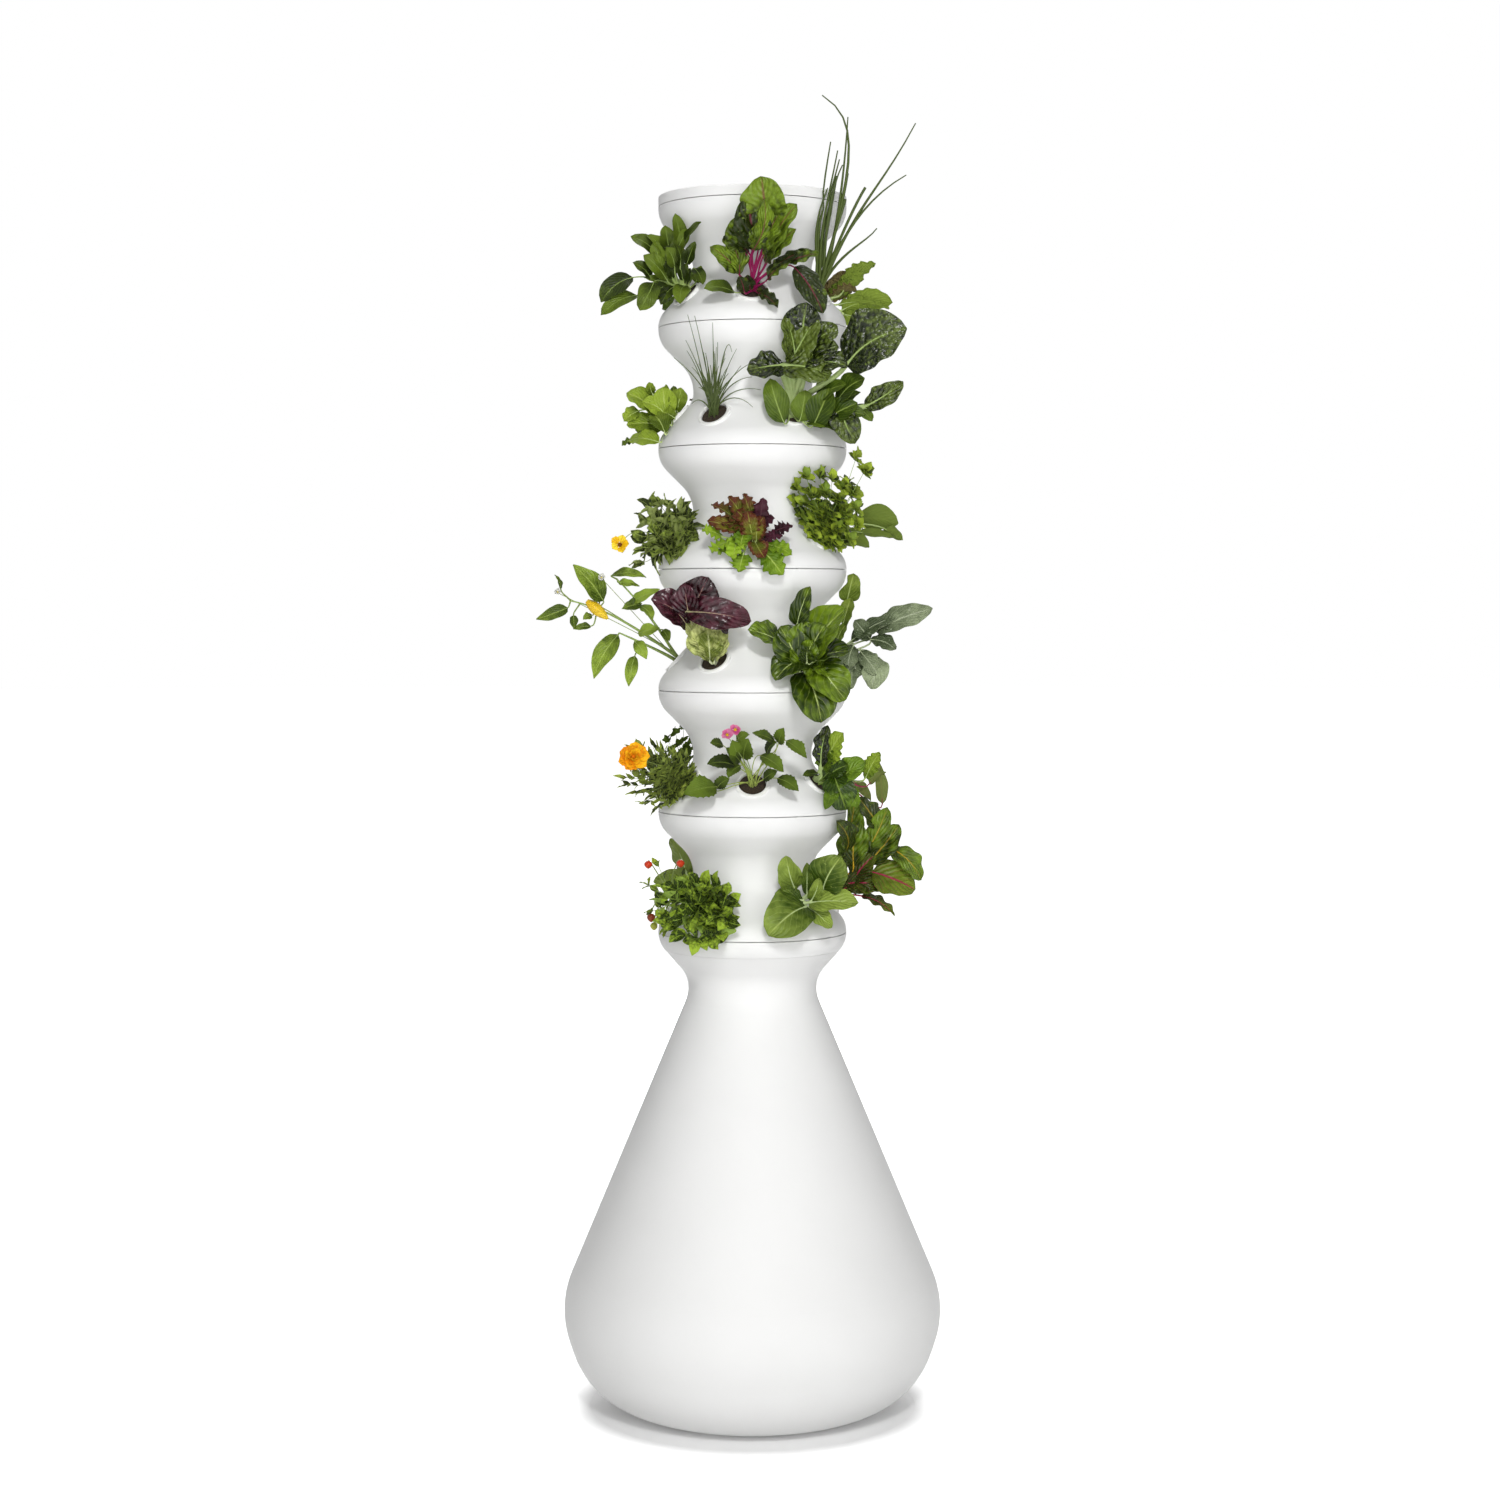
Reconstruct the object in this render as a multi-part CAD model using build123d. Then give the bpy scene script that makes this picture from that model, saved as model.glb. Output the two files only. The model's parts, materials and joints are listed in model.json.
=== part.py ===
from build123d import *
import os
from math import cos, hypot, radians, sin, tan

# A free-standing hydroponic tower. A bottle-shaped reservoir carries a turning stack of six
# hourglass grow rings under a flat lid. Every ring has six slanted ports, each with a lift-out
# net cup, its coir plug and a plant. A pump in the reservoir lifts water through a riser on the
# axis to a drip head under the lid, and it drips back from tray to tray past the roots.
# Frame: millimetres, +Z up, origin on the floor at the tower's axis, front towards -Y.
# Azimuths are in degrees from the front, turning towards +X.

# Grow ring: outline, measured from its upper seam down and its lower seam up
RING_COUNT = 6
RING_RADIUS = 152.4
RING_PITCH = 195.3
RING_WALL = 3.0
WAIST_SETBACK = 56.7
BOWL_LAND = 21.0
BOWL_SLOPE = 45.0
SHOULDER_LAND = 16.7
SHOULDER_SLOPE = 42.9
BOWL_ROUND = 48.0
WAIST_UPPER_ROUND = 61.0
WAIST_LOWER_ROUND = 34.0
SHOULDER_ROUND = 40.0
SEAM_GAP = 1.2
SEAM_BEVEL = 0.4

# Grow ring: ports
PORTS_PER_RING = 6
PORT_RISE = 50.8
PORT_CLEARANCE = 0.4
SEAT_MARGIN = 0.8
SEAT_PROUD = 0.6
SEAT_ROOT = 5.4

# Grow ring: flange and spigot, index keys and the ledge at the waist
SPIGOT_SETBACK = 6.5
SPIGOT_WALL = 2.8
SPIGOT_DEPTH = 10.0
SPIGOT_FLANGE = 4.0
KEY_WIDTH = 6.0
KEY_DROP = 1.0
KEY_HEIGHT = 8.0
KEY_REST = 4.5
KEY_ENGAGE = 0.4
KEY_CLEARANCE = 0.6
LEDGE_WIDTH = 14.0
LEDGE_THICK = 3.0

# Net cup, coir plug and plant
CUP_FLANGE_WIDTH = 3.4
CUP_FLANGE = 2.4
CUP_MOUTH_RADIUS = 23.6
CUP_TIP_RADIUS = 17.5
CUP_DEPTH = 52.0
CUP_WALL = 1.6
CUP_FLOOR = 1.8
CUP_SLOTS = 8
CUP_SLOT_WIDTH = 4.0
CUP_SLOT_MARGIN = 8.0
CUP_DRAIN_RADIUS = 6.0
PLUG_CLEARANCE = 0.4
PLUG_RECESS = 3.5
STEM_RADIUS = 6.0
STEM_RISE = 10.0
STEM_ROOT = 12.0
STEM_ROUND = 10.0
CROWN_WIDEST = 0.62
CROWN_TOP = 0.45
CROWN_ROUND = 0.35
CROWN_LOBES = 7
LOBE_NOTCH = 0.26
LOBE_CENTRE = 1.06

# Reservoir base and collar: outline of revolution
COLLAR_RISE = 26.6
COLLAR_LAND = 16.1
COLLAR_ROUND = 40.0
COLLAR_WALL = 3.0
NECK_SETBACK = 48.2
NECK_DROP = 44.4
NECK_HEIGHT = 30.5
NECK_UPPER_ROUND = 45.0
NECK_LOWER_ROUND = 53.0
BASE_TOP = 736.5
BASE_RADIUS = 314.2
BASE_BULGE_HEIGHT = 161.1
BASE_BULGE_ROUND = 146.0
FOOT_SETBACK = 55.2
FOOT_ROUND = 133.0
BASE_WALL = 4.5
COLLAR_SEAM = 0.4
COLLAR_SEAM_DEPTH = 1.4
COLLAR_WEB = 3.5
COLLAR_LIP_CLEARANCE = 3.0
COLLAR_LIP_WALL = 3.0
COLLAR_LIP_DEPTH = 9.5
GLIDE_THICK = 3.0
GLIDE_WIDTH = 2.6
GLIDE_CLEARANCE = 0.9
GLIDE_SHELF = 3.0
GLIDE_SHELF_LAP = 0.8

# Lid
LID_HEIGHT = 19.5
LID_CROWN = 2.0
LID_WALL = 3.0
LID_EDGE_ROUND = 1.5
LID_LIP_CLEARANCE = 0.8
LID_LIP_WALL = 2.8
LID_LIP_DEPTH = 10.0

# Fill port in the back of the reservoir
FILL_DROP = 141.6
FILL_BORE = 28.0
FILL_SEAT_RADIUS = 38.0
FILL_SEAT_PROUD = 2.0
FILL_SEAT_ROOT = 11.0
FILL_CAP_RADIUS = 36.0
FILL_CAP_THICK = 4.0
FILL_PLUG_LENGTH = 15.0
FILL_PLUG_WALL = 3.0
FILL_CLEARANCE = 0.6
FILL_GRIP_LENGTH = 50.0
FILL_GRIP_WIDTH = 9.0
FILL_GRIP_HEIGHT = 14.0
FILL_GRIP_ROUND = 4.0
SEAL_GROOVE = 2.4
SEAL_GROOVE_DEPTH = 1.4
SEAL_GROOVE_SETBACK = 6.0
SEAL_CLEARANCE = 0.15

# Cable grommet in the back of the neck
GROMMET_DROP = 18.1
GROMMET_HOLE = 8.0
GROMMET_BORE = 4.0
GROMMET_FLANGE = 11.0
GROMMET_FLANGE_THICK = 2.5
GROMMET_CLEARANCE = 0.3
GROMMET_GRIP = 1.4

# Riser, drip trays and drip head
RISER_RADIUS = 16.0
RISER_WALL = 2.5
RISER_SPIGOT = 18.0
RISER_SPIGOT_WALL = 2.0
RISER_CLEARANCE = 0.3
RISER_TOP_DROP = 30.0
TRAY_CLEARANCE = 1.2
TRAY_FLOOR = 2.5
TRAY_LIP = 8.0
TRAY_LIP_WALL = 2.0
TRAY_HUB_WALL = 3.0
TRAY_HUB_HEIGHT = 22.0
TRAY_HUB_CLEARANCE = 0.6
DRIP_HOLE = 3.0
DRIP_HOLE_INSET = 20.0
HEAD_RADIUS = 100.0
HEAD_FLOOR = 3.0
HEAD_LIP = 12.0
HEAD_LIP_WALL = 2.5
HEAD_SOCKET_WALL = 3.0
HEAD_SOCKET_DEPTH = 20.0
HEAD_HOLES = 12
HEAD_HOLE_INSET = 12.0

# Pump: its rotor turns about an axis along Y, below the riser
PUMP_WIDTH = 72.0
PUMP_HEIGHT = 62.0
PUMP_FRONT = 16.0
PUMP_BACK = 74.0
PUMP_ROUND = 12.0
PUMP_TOP_ROUND = 5.0
PUMP_FOOT_RADIUS = 9.0
PUMP_FOOT_HEIGHT = 8.0
PUMP_FOOT_EDGE = 1.0
PUMP_FOOT_NECK = 5.0
PUMP_FOOT_FLARE = 4.8
PUMP_FOOT_HOLLOW = 2.5
PUMP_FOOT_PEG = 3.0
PUMP_FOOT_PEG_HEIGHT = 5.0
PUMP_FOOT_CLEARANCE = 0.3
PUMP_FOOT_INSET = 15.0
VOLUTE_RADIUS = 20.0
VOLUTE_BACK = 6.0
WELL_RADIUS = 12.5
WELL_BACK = 58.0
ROTOR_GAP = 1.0
ROTOR_END_GAP = 0.8
IMPELLER_GAP = 3.0
IMPELLER_HUB = 6.0
IMPELLER_PLATE = 2.0
IMPELLER_VANES = 6
IMPELLER_VANE = 1.8
IMPELLER_DEPTH = 12.0
SHAFT_RADIUS = 2.0
SHAFT_RUNNING_FIT = 0.05
SHAFT_SEAT = 4.0
OUTLET_RADIUS = 12.0
OUTLET_BORE = 8.0
OUTLET_HEIGHT = 18.0
COVER_THICK = 8.0
COVER_EYE = 9.0
COVER_SPOKE = 4.0
COVER_SEAT_WALL = 2.0
STRAINER_DEPTH = 18.0
STRAINER_WALL = 2.5
STRAINER_MARGIN = 4.0
STRAINER_BARS = 7
STRAINER_SLOT = 4.0
ADAPTER_WALL = 3.0
ADAPTER_FLOOR = 4.0
ADAPTER_SOCKET = 25.0
ADAPTER_CLEARANCE = 0.15

# Plants, ring by ring from the top, port by port from the front: length of the crown from the
# plug, its widest radius and the rise of its axis above the horizon in degrees
PLANTS = [
    [(150, 58, 46), (318, 22, 66), (100, 48, 46), (110, 52, 46), (110, 52, 46), (130, 58, 47)],
    [(155, 62, 44), (130, 50, 46), (110, 52, 46), (110, 52, 46), (100, 46, 44), (140, 36, 54)],
    [(110, 56, 44), (130, 56, 47), (125, 50, 46), (110, 52, 46), (110, 52, 46), (115, 54, 46)],
    [(140, 62, 44), (180, 60, 44), (110, 52, 46), (110, 52, 46), (236, 56, 27), (135, 60, 45)],
    [(120, 60, 44), (120, 56, 46), (115, 50, 46), (110, 52, 46), (105, 46, 48), (120, 56, 44)],
    [(140, 62, 44), (175, 56, 46), (110, 52, 46), (110, 52, 46), (110, 50, 40), (130, 62, 42)],
]

# Places that follow from the driving sizes
STACK_SEAT = BASE_TOP + COLLAR_RISE
STACK_TOP = STACK_SEAT + RING_COUNT * RING_PITCH
RISER_TOP = STACK_TOP - RISER_TOP_DROP
PORT_STEP = 360 / PORTS_PER_RING
WAIST_RADIUS = RING_RADIUS - WAIST_SETBACK
CUP_FLANGE_RADIUS = CUP_MOUTH_RADIUS + CUP_FLANGE_WIDTH
SEAT_RADIUS = CUP_FLANGE_RADIUS + SEAT_MARGIN
PORT_BORE = CUP_MOUTH_RADIUS + PORT_CLEARANCE
PORT_RADIUS = RING_RADIUS - (PORT_RISE - SHOULDER_LAND) * tan(radians(SHOULDER_SLOPE))
SPIGOT_RADIUS = RING_RADIUS - RING_WALL - SPIGOT_SETBACK
PLUG_TOP = CUP_FLANGE - PLUG_RECESS
WAIST_TOP = BOWL_LAND + (RING_RADIUS - WAIST_RADIUS) / tan(radians(BOWL_SLOPE))
WAIST_FOOT = RING_PITCH - SHOULDER_LAND - (RING_RADIUS - WAIST_RADIUS) / tan(radians(SHOULDER_SLOPE))
LEDGE_TOP = -(WAIST_TOP + WAIST_FOOT) / 2
LEDGE_BORE = WAIST_RADIUS - RING_WALL - LEDGE_WIDTH
NECK_RADIUS = RING_RADIUS - NECK_SETBACK
NECK_TOP = BASE_TOP - NECK_DROP
NECK_BOTTOM = NECK_TOP - NECK_HEIGHT
FOOT_RADIUS = BASE_RADIUS - FOOT_SETBACK
FILL_HEIGHT = NECK_BOTTOM - FILL_DROP
GROMMET_HEIGHT = NECK_TOP - GROMMET_DROP
PUMP_BOTTOM = BASE_WALL + PUMP_FOOT_HEIGHT
PUMP_TOP = PUMP_BOTTOM + PUMP_HEIGHT
ROTOR_HEIGHT = PUMP_BOTTOM + PUMP_HEIGHT / 2
RISER_FOOT = PUMP_TOP + OUTLET_HEIGHT + ADAPTER_FLOOR
RISER_BORE = RISER_RADIUS - RISER_WALL
UPRIGHT = (Align.CENTER, Align.CENTER, Align.MIN)


def rounds_that_fit(points, rounds):
    """Limit each corner's round so that the two rounds on a run never overlap."""
    runs = [hypot(b[0] - a[0], b[1] - a[1]) for a, b in zip(points, points[1:])]
    reach = [0.0]
    for before, corner, after, size in zip(points, points[1:], points[2:], rounds):
        turn = (Vector(*corner) - Vector(*before)).get_angle(Vector(*after) - Vector(*corner))
        reach.append(size * tan(radians(turn / 2)))
    reach.append(0.0)
    share = [min(1.0, 0.98 * run / max(a + b, 1e-9)) for run, a, b in zip(runs, reach, reach[1:])]
    return [size * min(a, b) for size, a, b in zip(rounds, share, share[1:])]


def parallel(points, rounds, gap):
    """Move a rounded path sideways by gap, to the right of its direction of travel."""
    lines = []
    for (ax, ay), (bx, by) in zip(points, points[1:]):
        length = hypot(bx - ax, by - ay)
        ux, uy = (bx - ax) / length, (by - ay) / length
        lines.append((ax + uy * gap, ay - ux * gap, ux, uy, length))
    first, last = lines[0], lines[-1]
    moved = [(first[0], first[1])]
    sizes = []
    for (ax, ay, ux, uy, _), (bx, by, vx, vy, _), size in zip(lines, lines[1:], rounds):
        cross = ux * vy - uy * vx
        along = ((bx - ax) * vy - (by - ay) * vx) / cross
        moved.append((ax + ux * along, ay + uy * along))
        sizes.append(max(size + gap, 0) if cross > 0 else max(size - gap, 0))
    moved.append((last[0] + last[2] * last[4], last[1] + last[3] * last[4]))
    return moved, sizes


def shell(points, rounds, wall):
    """Revolve a wall whose outer face follows a rounded (radius, height) path."""
    fitted = rounds_that_fit(points, rounds)
    inner_points, inner_rounds = parallel(points, fitted, wall)
    outer = FilletPolyline(*points, radius=fitted)
    inner = FilletPolyline(*inner_points, radius=inner_rounds)
    ends = [Line(points[0], inner_points[0]), Line(points[-1], inner_points[-1])]
    return revolve(Plane.XZ * make_face([outer, inner] + ends), Axis.Z)


def turned(*points):
    """Revolve a closed (radius, height) polygon about Z."""
    return revolve(Plane.XZ * make_face(Polyline(*points, close=True)), Axis.Z)


def tube(inner, outer, bottom, top):
    """A hollow upright cylinder between two heights."""
    return turned((inner, bottom), (outer, bottom), (outer, top), (inner, top))


def rod(radius, bottom, top):
    """A solid upright cylinder between two heights."""
    return Pos(0, 0, bottom) * Cylinder(radius, top - bottom, align=UPRIGHT)


def slanted_plane(azimuth, radius, height, rise):
    """A plane on the tower's outside whose normal points outwards and up by rise degrees."""
    out = Vector(sin(radians(azimuth)), -cos(radians(azimuth)), 0)
    across = Vector(cos(radians(azimuth)), sin(radians(azimuth)), 0)
    normal = out * cos(radians(rise)) + Vector(0, 0, sin(radians(rise)))
    return Plane(origin=out * radius + Vector(0, 0, height), x_dir=across, z_dir=normal)


def around(shape, count, start=0.0):
    """Copies of a shape, evenly spaced about Z."""
    return [Rot(0, 0, start + 360 * i / count) * shape for i in range(count)]


def bevel_at(part, radius, heights, size):
    """Bevel the circular outer edges of one radius at the given heights."""
    rims = [
        edge
        for edge in part.edges().filter_by(GeomType.CIRCLE)
        if abs(edge.radius - radius) < 0.01 and min(abs(edge.center().Z - z) for z in heights) < 0.01
    ]
    return chamfer(rims, size)


def ring_place(number):
    """Where a ring stands: its upper seam's height, and half a port step more on every other ring."""
    return Pos(0, 0, STACK_SEAT + (RING_COUNT + 1 - number) * RING_PITCH) * Rot(0, 0, ring_turn(number))


def ring_turn(number):
    """A ring's turn on the stack: rings 1, 3 and 5 have a port at the front."""
    return 0 if number % 2 else PORT_STEP / 2


def port_plane(index):
    """A port's seat plane on a ring whose upper seam is at z = 0."""
    plane = slanted_plane(index * PORT_STEP, PORT_RADIUS, PORT_RISE - RING_PITCH, SHOULDER_SLOPE)
    return plane.offset(SEAT_PROUD)


def make_ring():
    """One grow ring: it stands on the index keys of the ring below, a shadow gap above its edge."""
    foot = SEAM_GAP - RING_PITCH
    outline = [
        (RING_RADIUS, 0),
        (RING_RADIUS, -BOWL_LAND),
        (WAIST_RADIUS, -WAIST_TOP),
        (WAIST_RADIUS, -WAIST_FOOT),
        (RING_RADIUS, SHOULDER_LAND - RING_PITCH),
        (RING_RADIUS, foot),
    ]
    ring = shell(outline, [BOWL_ROUND, WAIST_UPPER_ROUND, WAIST_LOWER_ROUND, SHOULDER_ROUND], RING_WALL)
    ring = bevel_at(ring, RING_RADIUS, [0, foot], SEAM_BEVEL)
    in_wall = RING_RADIUS - RING_WALL / 2
    spigot_bore = SPIGOT_RADIUS - SPIGOT_WALL
    spigot_foot = -RING_PITCH - SPIGOT_DEPTH
    spigot = turned(
        (spigot_bore, foot + SPIGOT_FLANGE),
        (in_wall, foot + SPIGOT_FLANGE),
        (in_wall, foot),
        (SPIGOT_RADIUS, foot),
        (SPIGOT_RADIUS, spigot_foot),
        (spigot_bore, spigot_foot),
    )
    slot = Pos(0, -SPIGOT_RADIUS, spigot_foot) * Box(
        KEY_WIDTH + 2 * KEY_CLEARANCE, 4 * SPIGOT_WALL, foot - spigot_foot, align=UPRIGHT
    )
    spigot -= around(slot, PORTS_PER_RING, PORT_STEP / 2)
    key_tip = spigot_bore - KEY_ENGAGE
    key = Pos(0, -(key_tip + in_wall) / 2, -KEY_DROP - KEY_HEIGHT) * Box(
        KEY_WIDTH, in_wall - key_tip, KEY_HEIGHT, align=UPRIGHT
    )
    rest_edge = SPIGOT_RADIUS + KEY_REST
    key += Pos(0, -(key_tip + rest_edge) / 2, -KEY_HEIGHT) * Box(
        KEY_WIDTH, rest_edge - key_tip, KEY_HEIGHT + SEAM_GAP, align=UPRIGHT
    )
    ledge = tube(LEDGE_BORE, WAIST_RADIUS - RING_WALL / 2, LEDGE_TOP - LEDGE_THICK, LEDGE_TOP)
    seat = rod(SEAT_RADIUS, -SEAT_PROUD - SEAT_ROOT, 0)
    bore = rod(PORT_BORE, -4 * SEAT_ROOT, SEAT_ROOT)
    spotface = rod(SEAT_RADIUS, 0, 4 * CUP_FLANGE)
    planes = [port_plane(i) for i in range(PORTS_PER_RING)]
    ring += [spigot, ledge] + around(key, PORTS_PER_RING) + [plane * seat for plane in planes]
    return ring - [plane * cut for plane in planes for cut in (bore, spotface)]


def cup_bore(height):
    """A net cup's inside radius at a height above its flange's underside."""
    rise = (height + CUP_DEPTH - CUP_FLOOR) / (CUP_DEPTH + CUP_FLANGE - CUP_FLOOR)
    tip = CUP_TIP_RADIUS - CUP_WALL
    return tip + (CUP_MOUTH_RADIUS - CUP_WALL - tip) * rise


def make_net_cup():
    """A net cup on its own axis, its flange's underside at z = 0: a slotted, tapered basket."""
    floor = CUP_FLOOR - CUP_DEPTH
    cup = turned(
        (0, -CUP_DEPTH),
        (CUP_TIP_RADIUS, -CUP_DEPTH),
        (CUP_MOUTH_RADIUS, 0),
        (CUP_FLANGE_RADIUS, 0),
        (CUP_FLANGE_RADIUS, CUP_FLANGE),
        (cup_bore(CUP_FLANGE), CUP_FLANGE),
        (cup_bore(floor), floor),
        (0, floor),
    )
    slot = Pos(0, -CUP_MOUTH_RADIUS, CUP_SLOT_MARGIN - CUP_DEPTH) * Box(
        CUP_SLOT_WIDTH, CUP_MOUTH_RADIUS, CUP_DEPTH - 2 * CUP_SLOT_MARGIN, align=UPRIGHT
    )
    return cup - (around(slot, CUP_SLOTS) + [rod(CUP_DRAIN_RADIUS, -2 * CUP_DEPTH, -CUP_DEPTH / 2)])


def make_plug():
    """The coir plug that stands on a net cup's floor and fills it to just under the flange."""
    floor = CUP_FLOOR - CUP_DEPTH
    return turned(
        (0, floor),
        (cup_bore(floor) - PLUG_CLEARANCE, floor),
        (cup_bore(PLUG_TOP) - PLUG_CLEARANCE, PLUG_TOP),
        (0, PLUG_TOP),
    )


def make_plant(length, spread, rise):
    """A plant in its cup's frame: a stem on the plug that flares into a lobed crown of leaves."""
    outline = [
        (STEM_RADIUS, -STEM_ROOT),
        (STEM_RADIUS, STEM_RISE),
        (spread, CROWN_WIDEST * length),
        (CROWN_TOP * spread, length),
        (0, length),
    ]
    crown_round = CROWN_ROUND * spread
    rounds = rounds_that_fit(outline, [STEM_ROUND, crown_round, crown_round])
    side = FilletPolyline(*outline, radius=rounds)
    ends = Polyline(outline[-1], (0, -STEM_ROOT), outline[0])
    crown = revolve(Plane.XZ * make_face([side, ends]), Axis.Z)
    notch = Pos(0, -LOBE_CENTRE * spread, STEM_RISE) * Cylinder(LOBE_NOTCH * spread, length, align=UPRIGHT)
    crown -= around(notch, CROWN_LOBES)
    leaning = Pos(0, 0, PLUG_TOP) * Rot(SHOULDER_SLOPE - rise, 0, 0) * crown
    return split(leaning, bisect_by=Plane.XY.offset(PLUG_TOP), keep=Keep.TOP)


def hull_outline():
    """The outer path of collar and reservoir in one sweep, from the turning seam to the floor."""
    points = [
        (RING_RADIUS, STACK_SEAT),
        (RING_RADIUS, STACK_SEAT - COLLAR_LAND),
        (NECK_RADIUS, NECK_TOP),
        (NECK_RADIUS, NECK_BOTTOM),
        (BASE_RADIUS, BASE_BULGE_HEIGHT),
        (FOOT_RADIUS, 0),
        (0, 0),
    ]
    return points, [COLLAR_ROUND, NECK_UPPER_ROUND, NECK_LOWER_ROUND, BASE_BULGE_ROUND, FOOT_ROUND]


def cone_radius(height):
    """The reservoir's outside radius on its straight cone."""
    share = (NECK_BOTTOM - height) / (NECK_BOTTOM - BASE_BULGE_HEIGHT)
    return NECK_RADIUS + share * (BASE_RADIUS - NECK_RADIUS)


def fill_plane():
    """The fill port's seat plane, square to the back of the reservoir's cone."""
    rise = Vector(BASE_RADIUS - NECK_RADIUS, NECK_BOTTOM - BASE_BULGE_HEIGHT).get_angle(Vector(0, 1))
    plane = slanted_plane(180, cone_radius(FILL_HEIGHT), FILL_HEIGHT, rise)
    return plane.offset(FILL_SEAT_PROUD)


def make_base():
    """The reservoir: one moulded bottle, with its fill port seat and the cable hole at the back."""
    whole = shell(*hull_outline(), BASE_WALL)
    base = split(whole, bisect_by=Plane.XY.offset(BASE_TOP), keep=Keep.BOTTOM)
    seat = fill_plane() * rod(FILL_SEAT_RADIUS, -FILL_SEAT_ROOT, 0)
    base += seat
    base -= fill_plane() * rod(FILL_BORE, -3 * FILL_SEAT_ROOT, FILL_SEAT_ROOT)
    return base - grommet_plane() * rod(GROMMET_HOLE, -4 * BASE_WALL, 4 * BASE_WALL)


def make_collar():
    """The collar on the reservoir's rim, with its locating lip and the shelf for the glide ring."""
    skin = split(shell(*hull_outline(), COLLAR_WALL), bisect_by=Plane.XY.offset(BASE_TOP), keep=Keep.TOP)
    inside, rim = hull_radii(COLLAR_WALL, BASE_TOP)
    skin = bevel_at(skin, RING_RADIUS, [STACK_SEAT], SEAM_BEVEL)
    skin -= tube(rim - COLLAR_SEAM_DEPTH, 2 * rim, BASE_TOP, BASE_TOP + COLLAR_SEAM)
    lip_bottom = BASE_TOP - COLLAR_LIP_DEPTH
    lip_radius = hull_radii(BASE_WALL, lip_bottom)[0] - COLLAR_LIP_CLEARANCE
    lip_bore = lip_radius - COLLAR_LIP_WALL
    web = turned(
        (lip_bore, lip_bottom),
        (lip_radius, lip_bottom),
        (lip_radius, BASE_TOP),
        ((inside + rim) / 2, BASE_TOP),
        ((inside + rim) / 2, BASE_TOP + COLLAR_WEB),
        (lip_bore, BASE_TOP + COLLAR_WEB),
    )
    shelf_top = STACK_SEAT - SPIGOT_DEPTH - GLIDE_THICK
    shelf_edge = sum(hull_radii(COLLAR_WALL, shelf_top - GLIDE_SHELF)) / 2
    shelf = tube(glide_bore() - GLIDE_SHELF_LAP, shelf_edge, shelf_top - GLIDE_SHELF, shelf_top)
    return skin + [web, shelf]


def hull_radii(wall, height):
    """The inside and outside radius of the collar's or the reservoir's wall at a height."""
    cut = split(shell(*hull_outline(), wall), bisect_by=Plane.XY.offset(height), keep=Keep.TOP)
    edges = cut.edges().filter_by(GeomType.CIRCLE)
    rims = [edge.radius for edge in edges if abs(edge.center().Z - height) < 0.01]
    return min(rims), max(rims)


def glide_bore():
    """The glide ring's inside radius, under the lowest ring's spigot."""
    return SPIGOT_RADIUS - GLIDE_CLEARANCE - GLIDE_WIDTH


def make_glide_ring():
    """The slippery flat ring on which the stack turns."""
    top = STACK_SEAT - SPIGOT_DEPTH
    return tube(glide_bore(), SPIGOT_RADIUS - GLIDE_CLEARANCE, top - GLIDE_THICK, top)


def make_lid():
    """The lid: a shallow cap whose flange stands on the top ring's keys, with a locating lip inside them."""
    foot = STACK_TOP + SEAM_GAP
    top = STACK_TOP + LID_HEIGHT
    eaves = top - LID_CROWN
    inside = RING_RADIUS - LID_WALL
    crown = TangentArc((0, top), (RING_RADIUS, eaves), tangent=(1, 0))
    ceiling = TangentArc((0, top - LID_WALL), (inside, eaves - LID_WALL), tangent=(1, 0))
    side = Polyline(
        (RING_RADIUS, eaves), (RING_RADIUS, foot), (inside, foot), (inside, eaves - LID_WALL)
    )
    middle = Line((0, top), (0, top - LID_WALL))
    lid = revolve(Plane.XZ * make_face([crown, side, ceiling, middle]), Axis.Z)
    rim = [
        edge
        for edge in lid.edges().filter_by(GeomType.CIRCLE)
        if abs(edge.radius - RING_RADIUS) < 0.01 and edge.center().Z > STACK_TOP + LID_HEIGHT / 2
    ]
    lid = fillet(rim, LID_EDGE_ROUND)
    lid = bevel_at(lid, RING_RADIUS, [foot], SEAM_BEVEL)
    lip_radius = SPIGOT_RADIUS - SPIGOT_WALL - KEY_ENGAGE - LID_LIP_CLEARANCE
    lip_bore = lip_radius - LID_LIP_WALL
    flange = tube(lip_bore, RING_RADIUS - LID_WALL / 2, foot, foot + LID_WALL)
    lip = tube(lip_bore, lip_radius, STACK_TOP - LID_LIP_DEPTH, foot + LID_WALL)
    return lid + [flange, lip]


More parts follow.
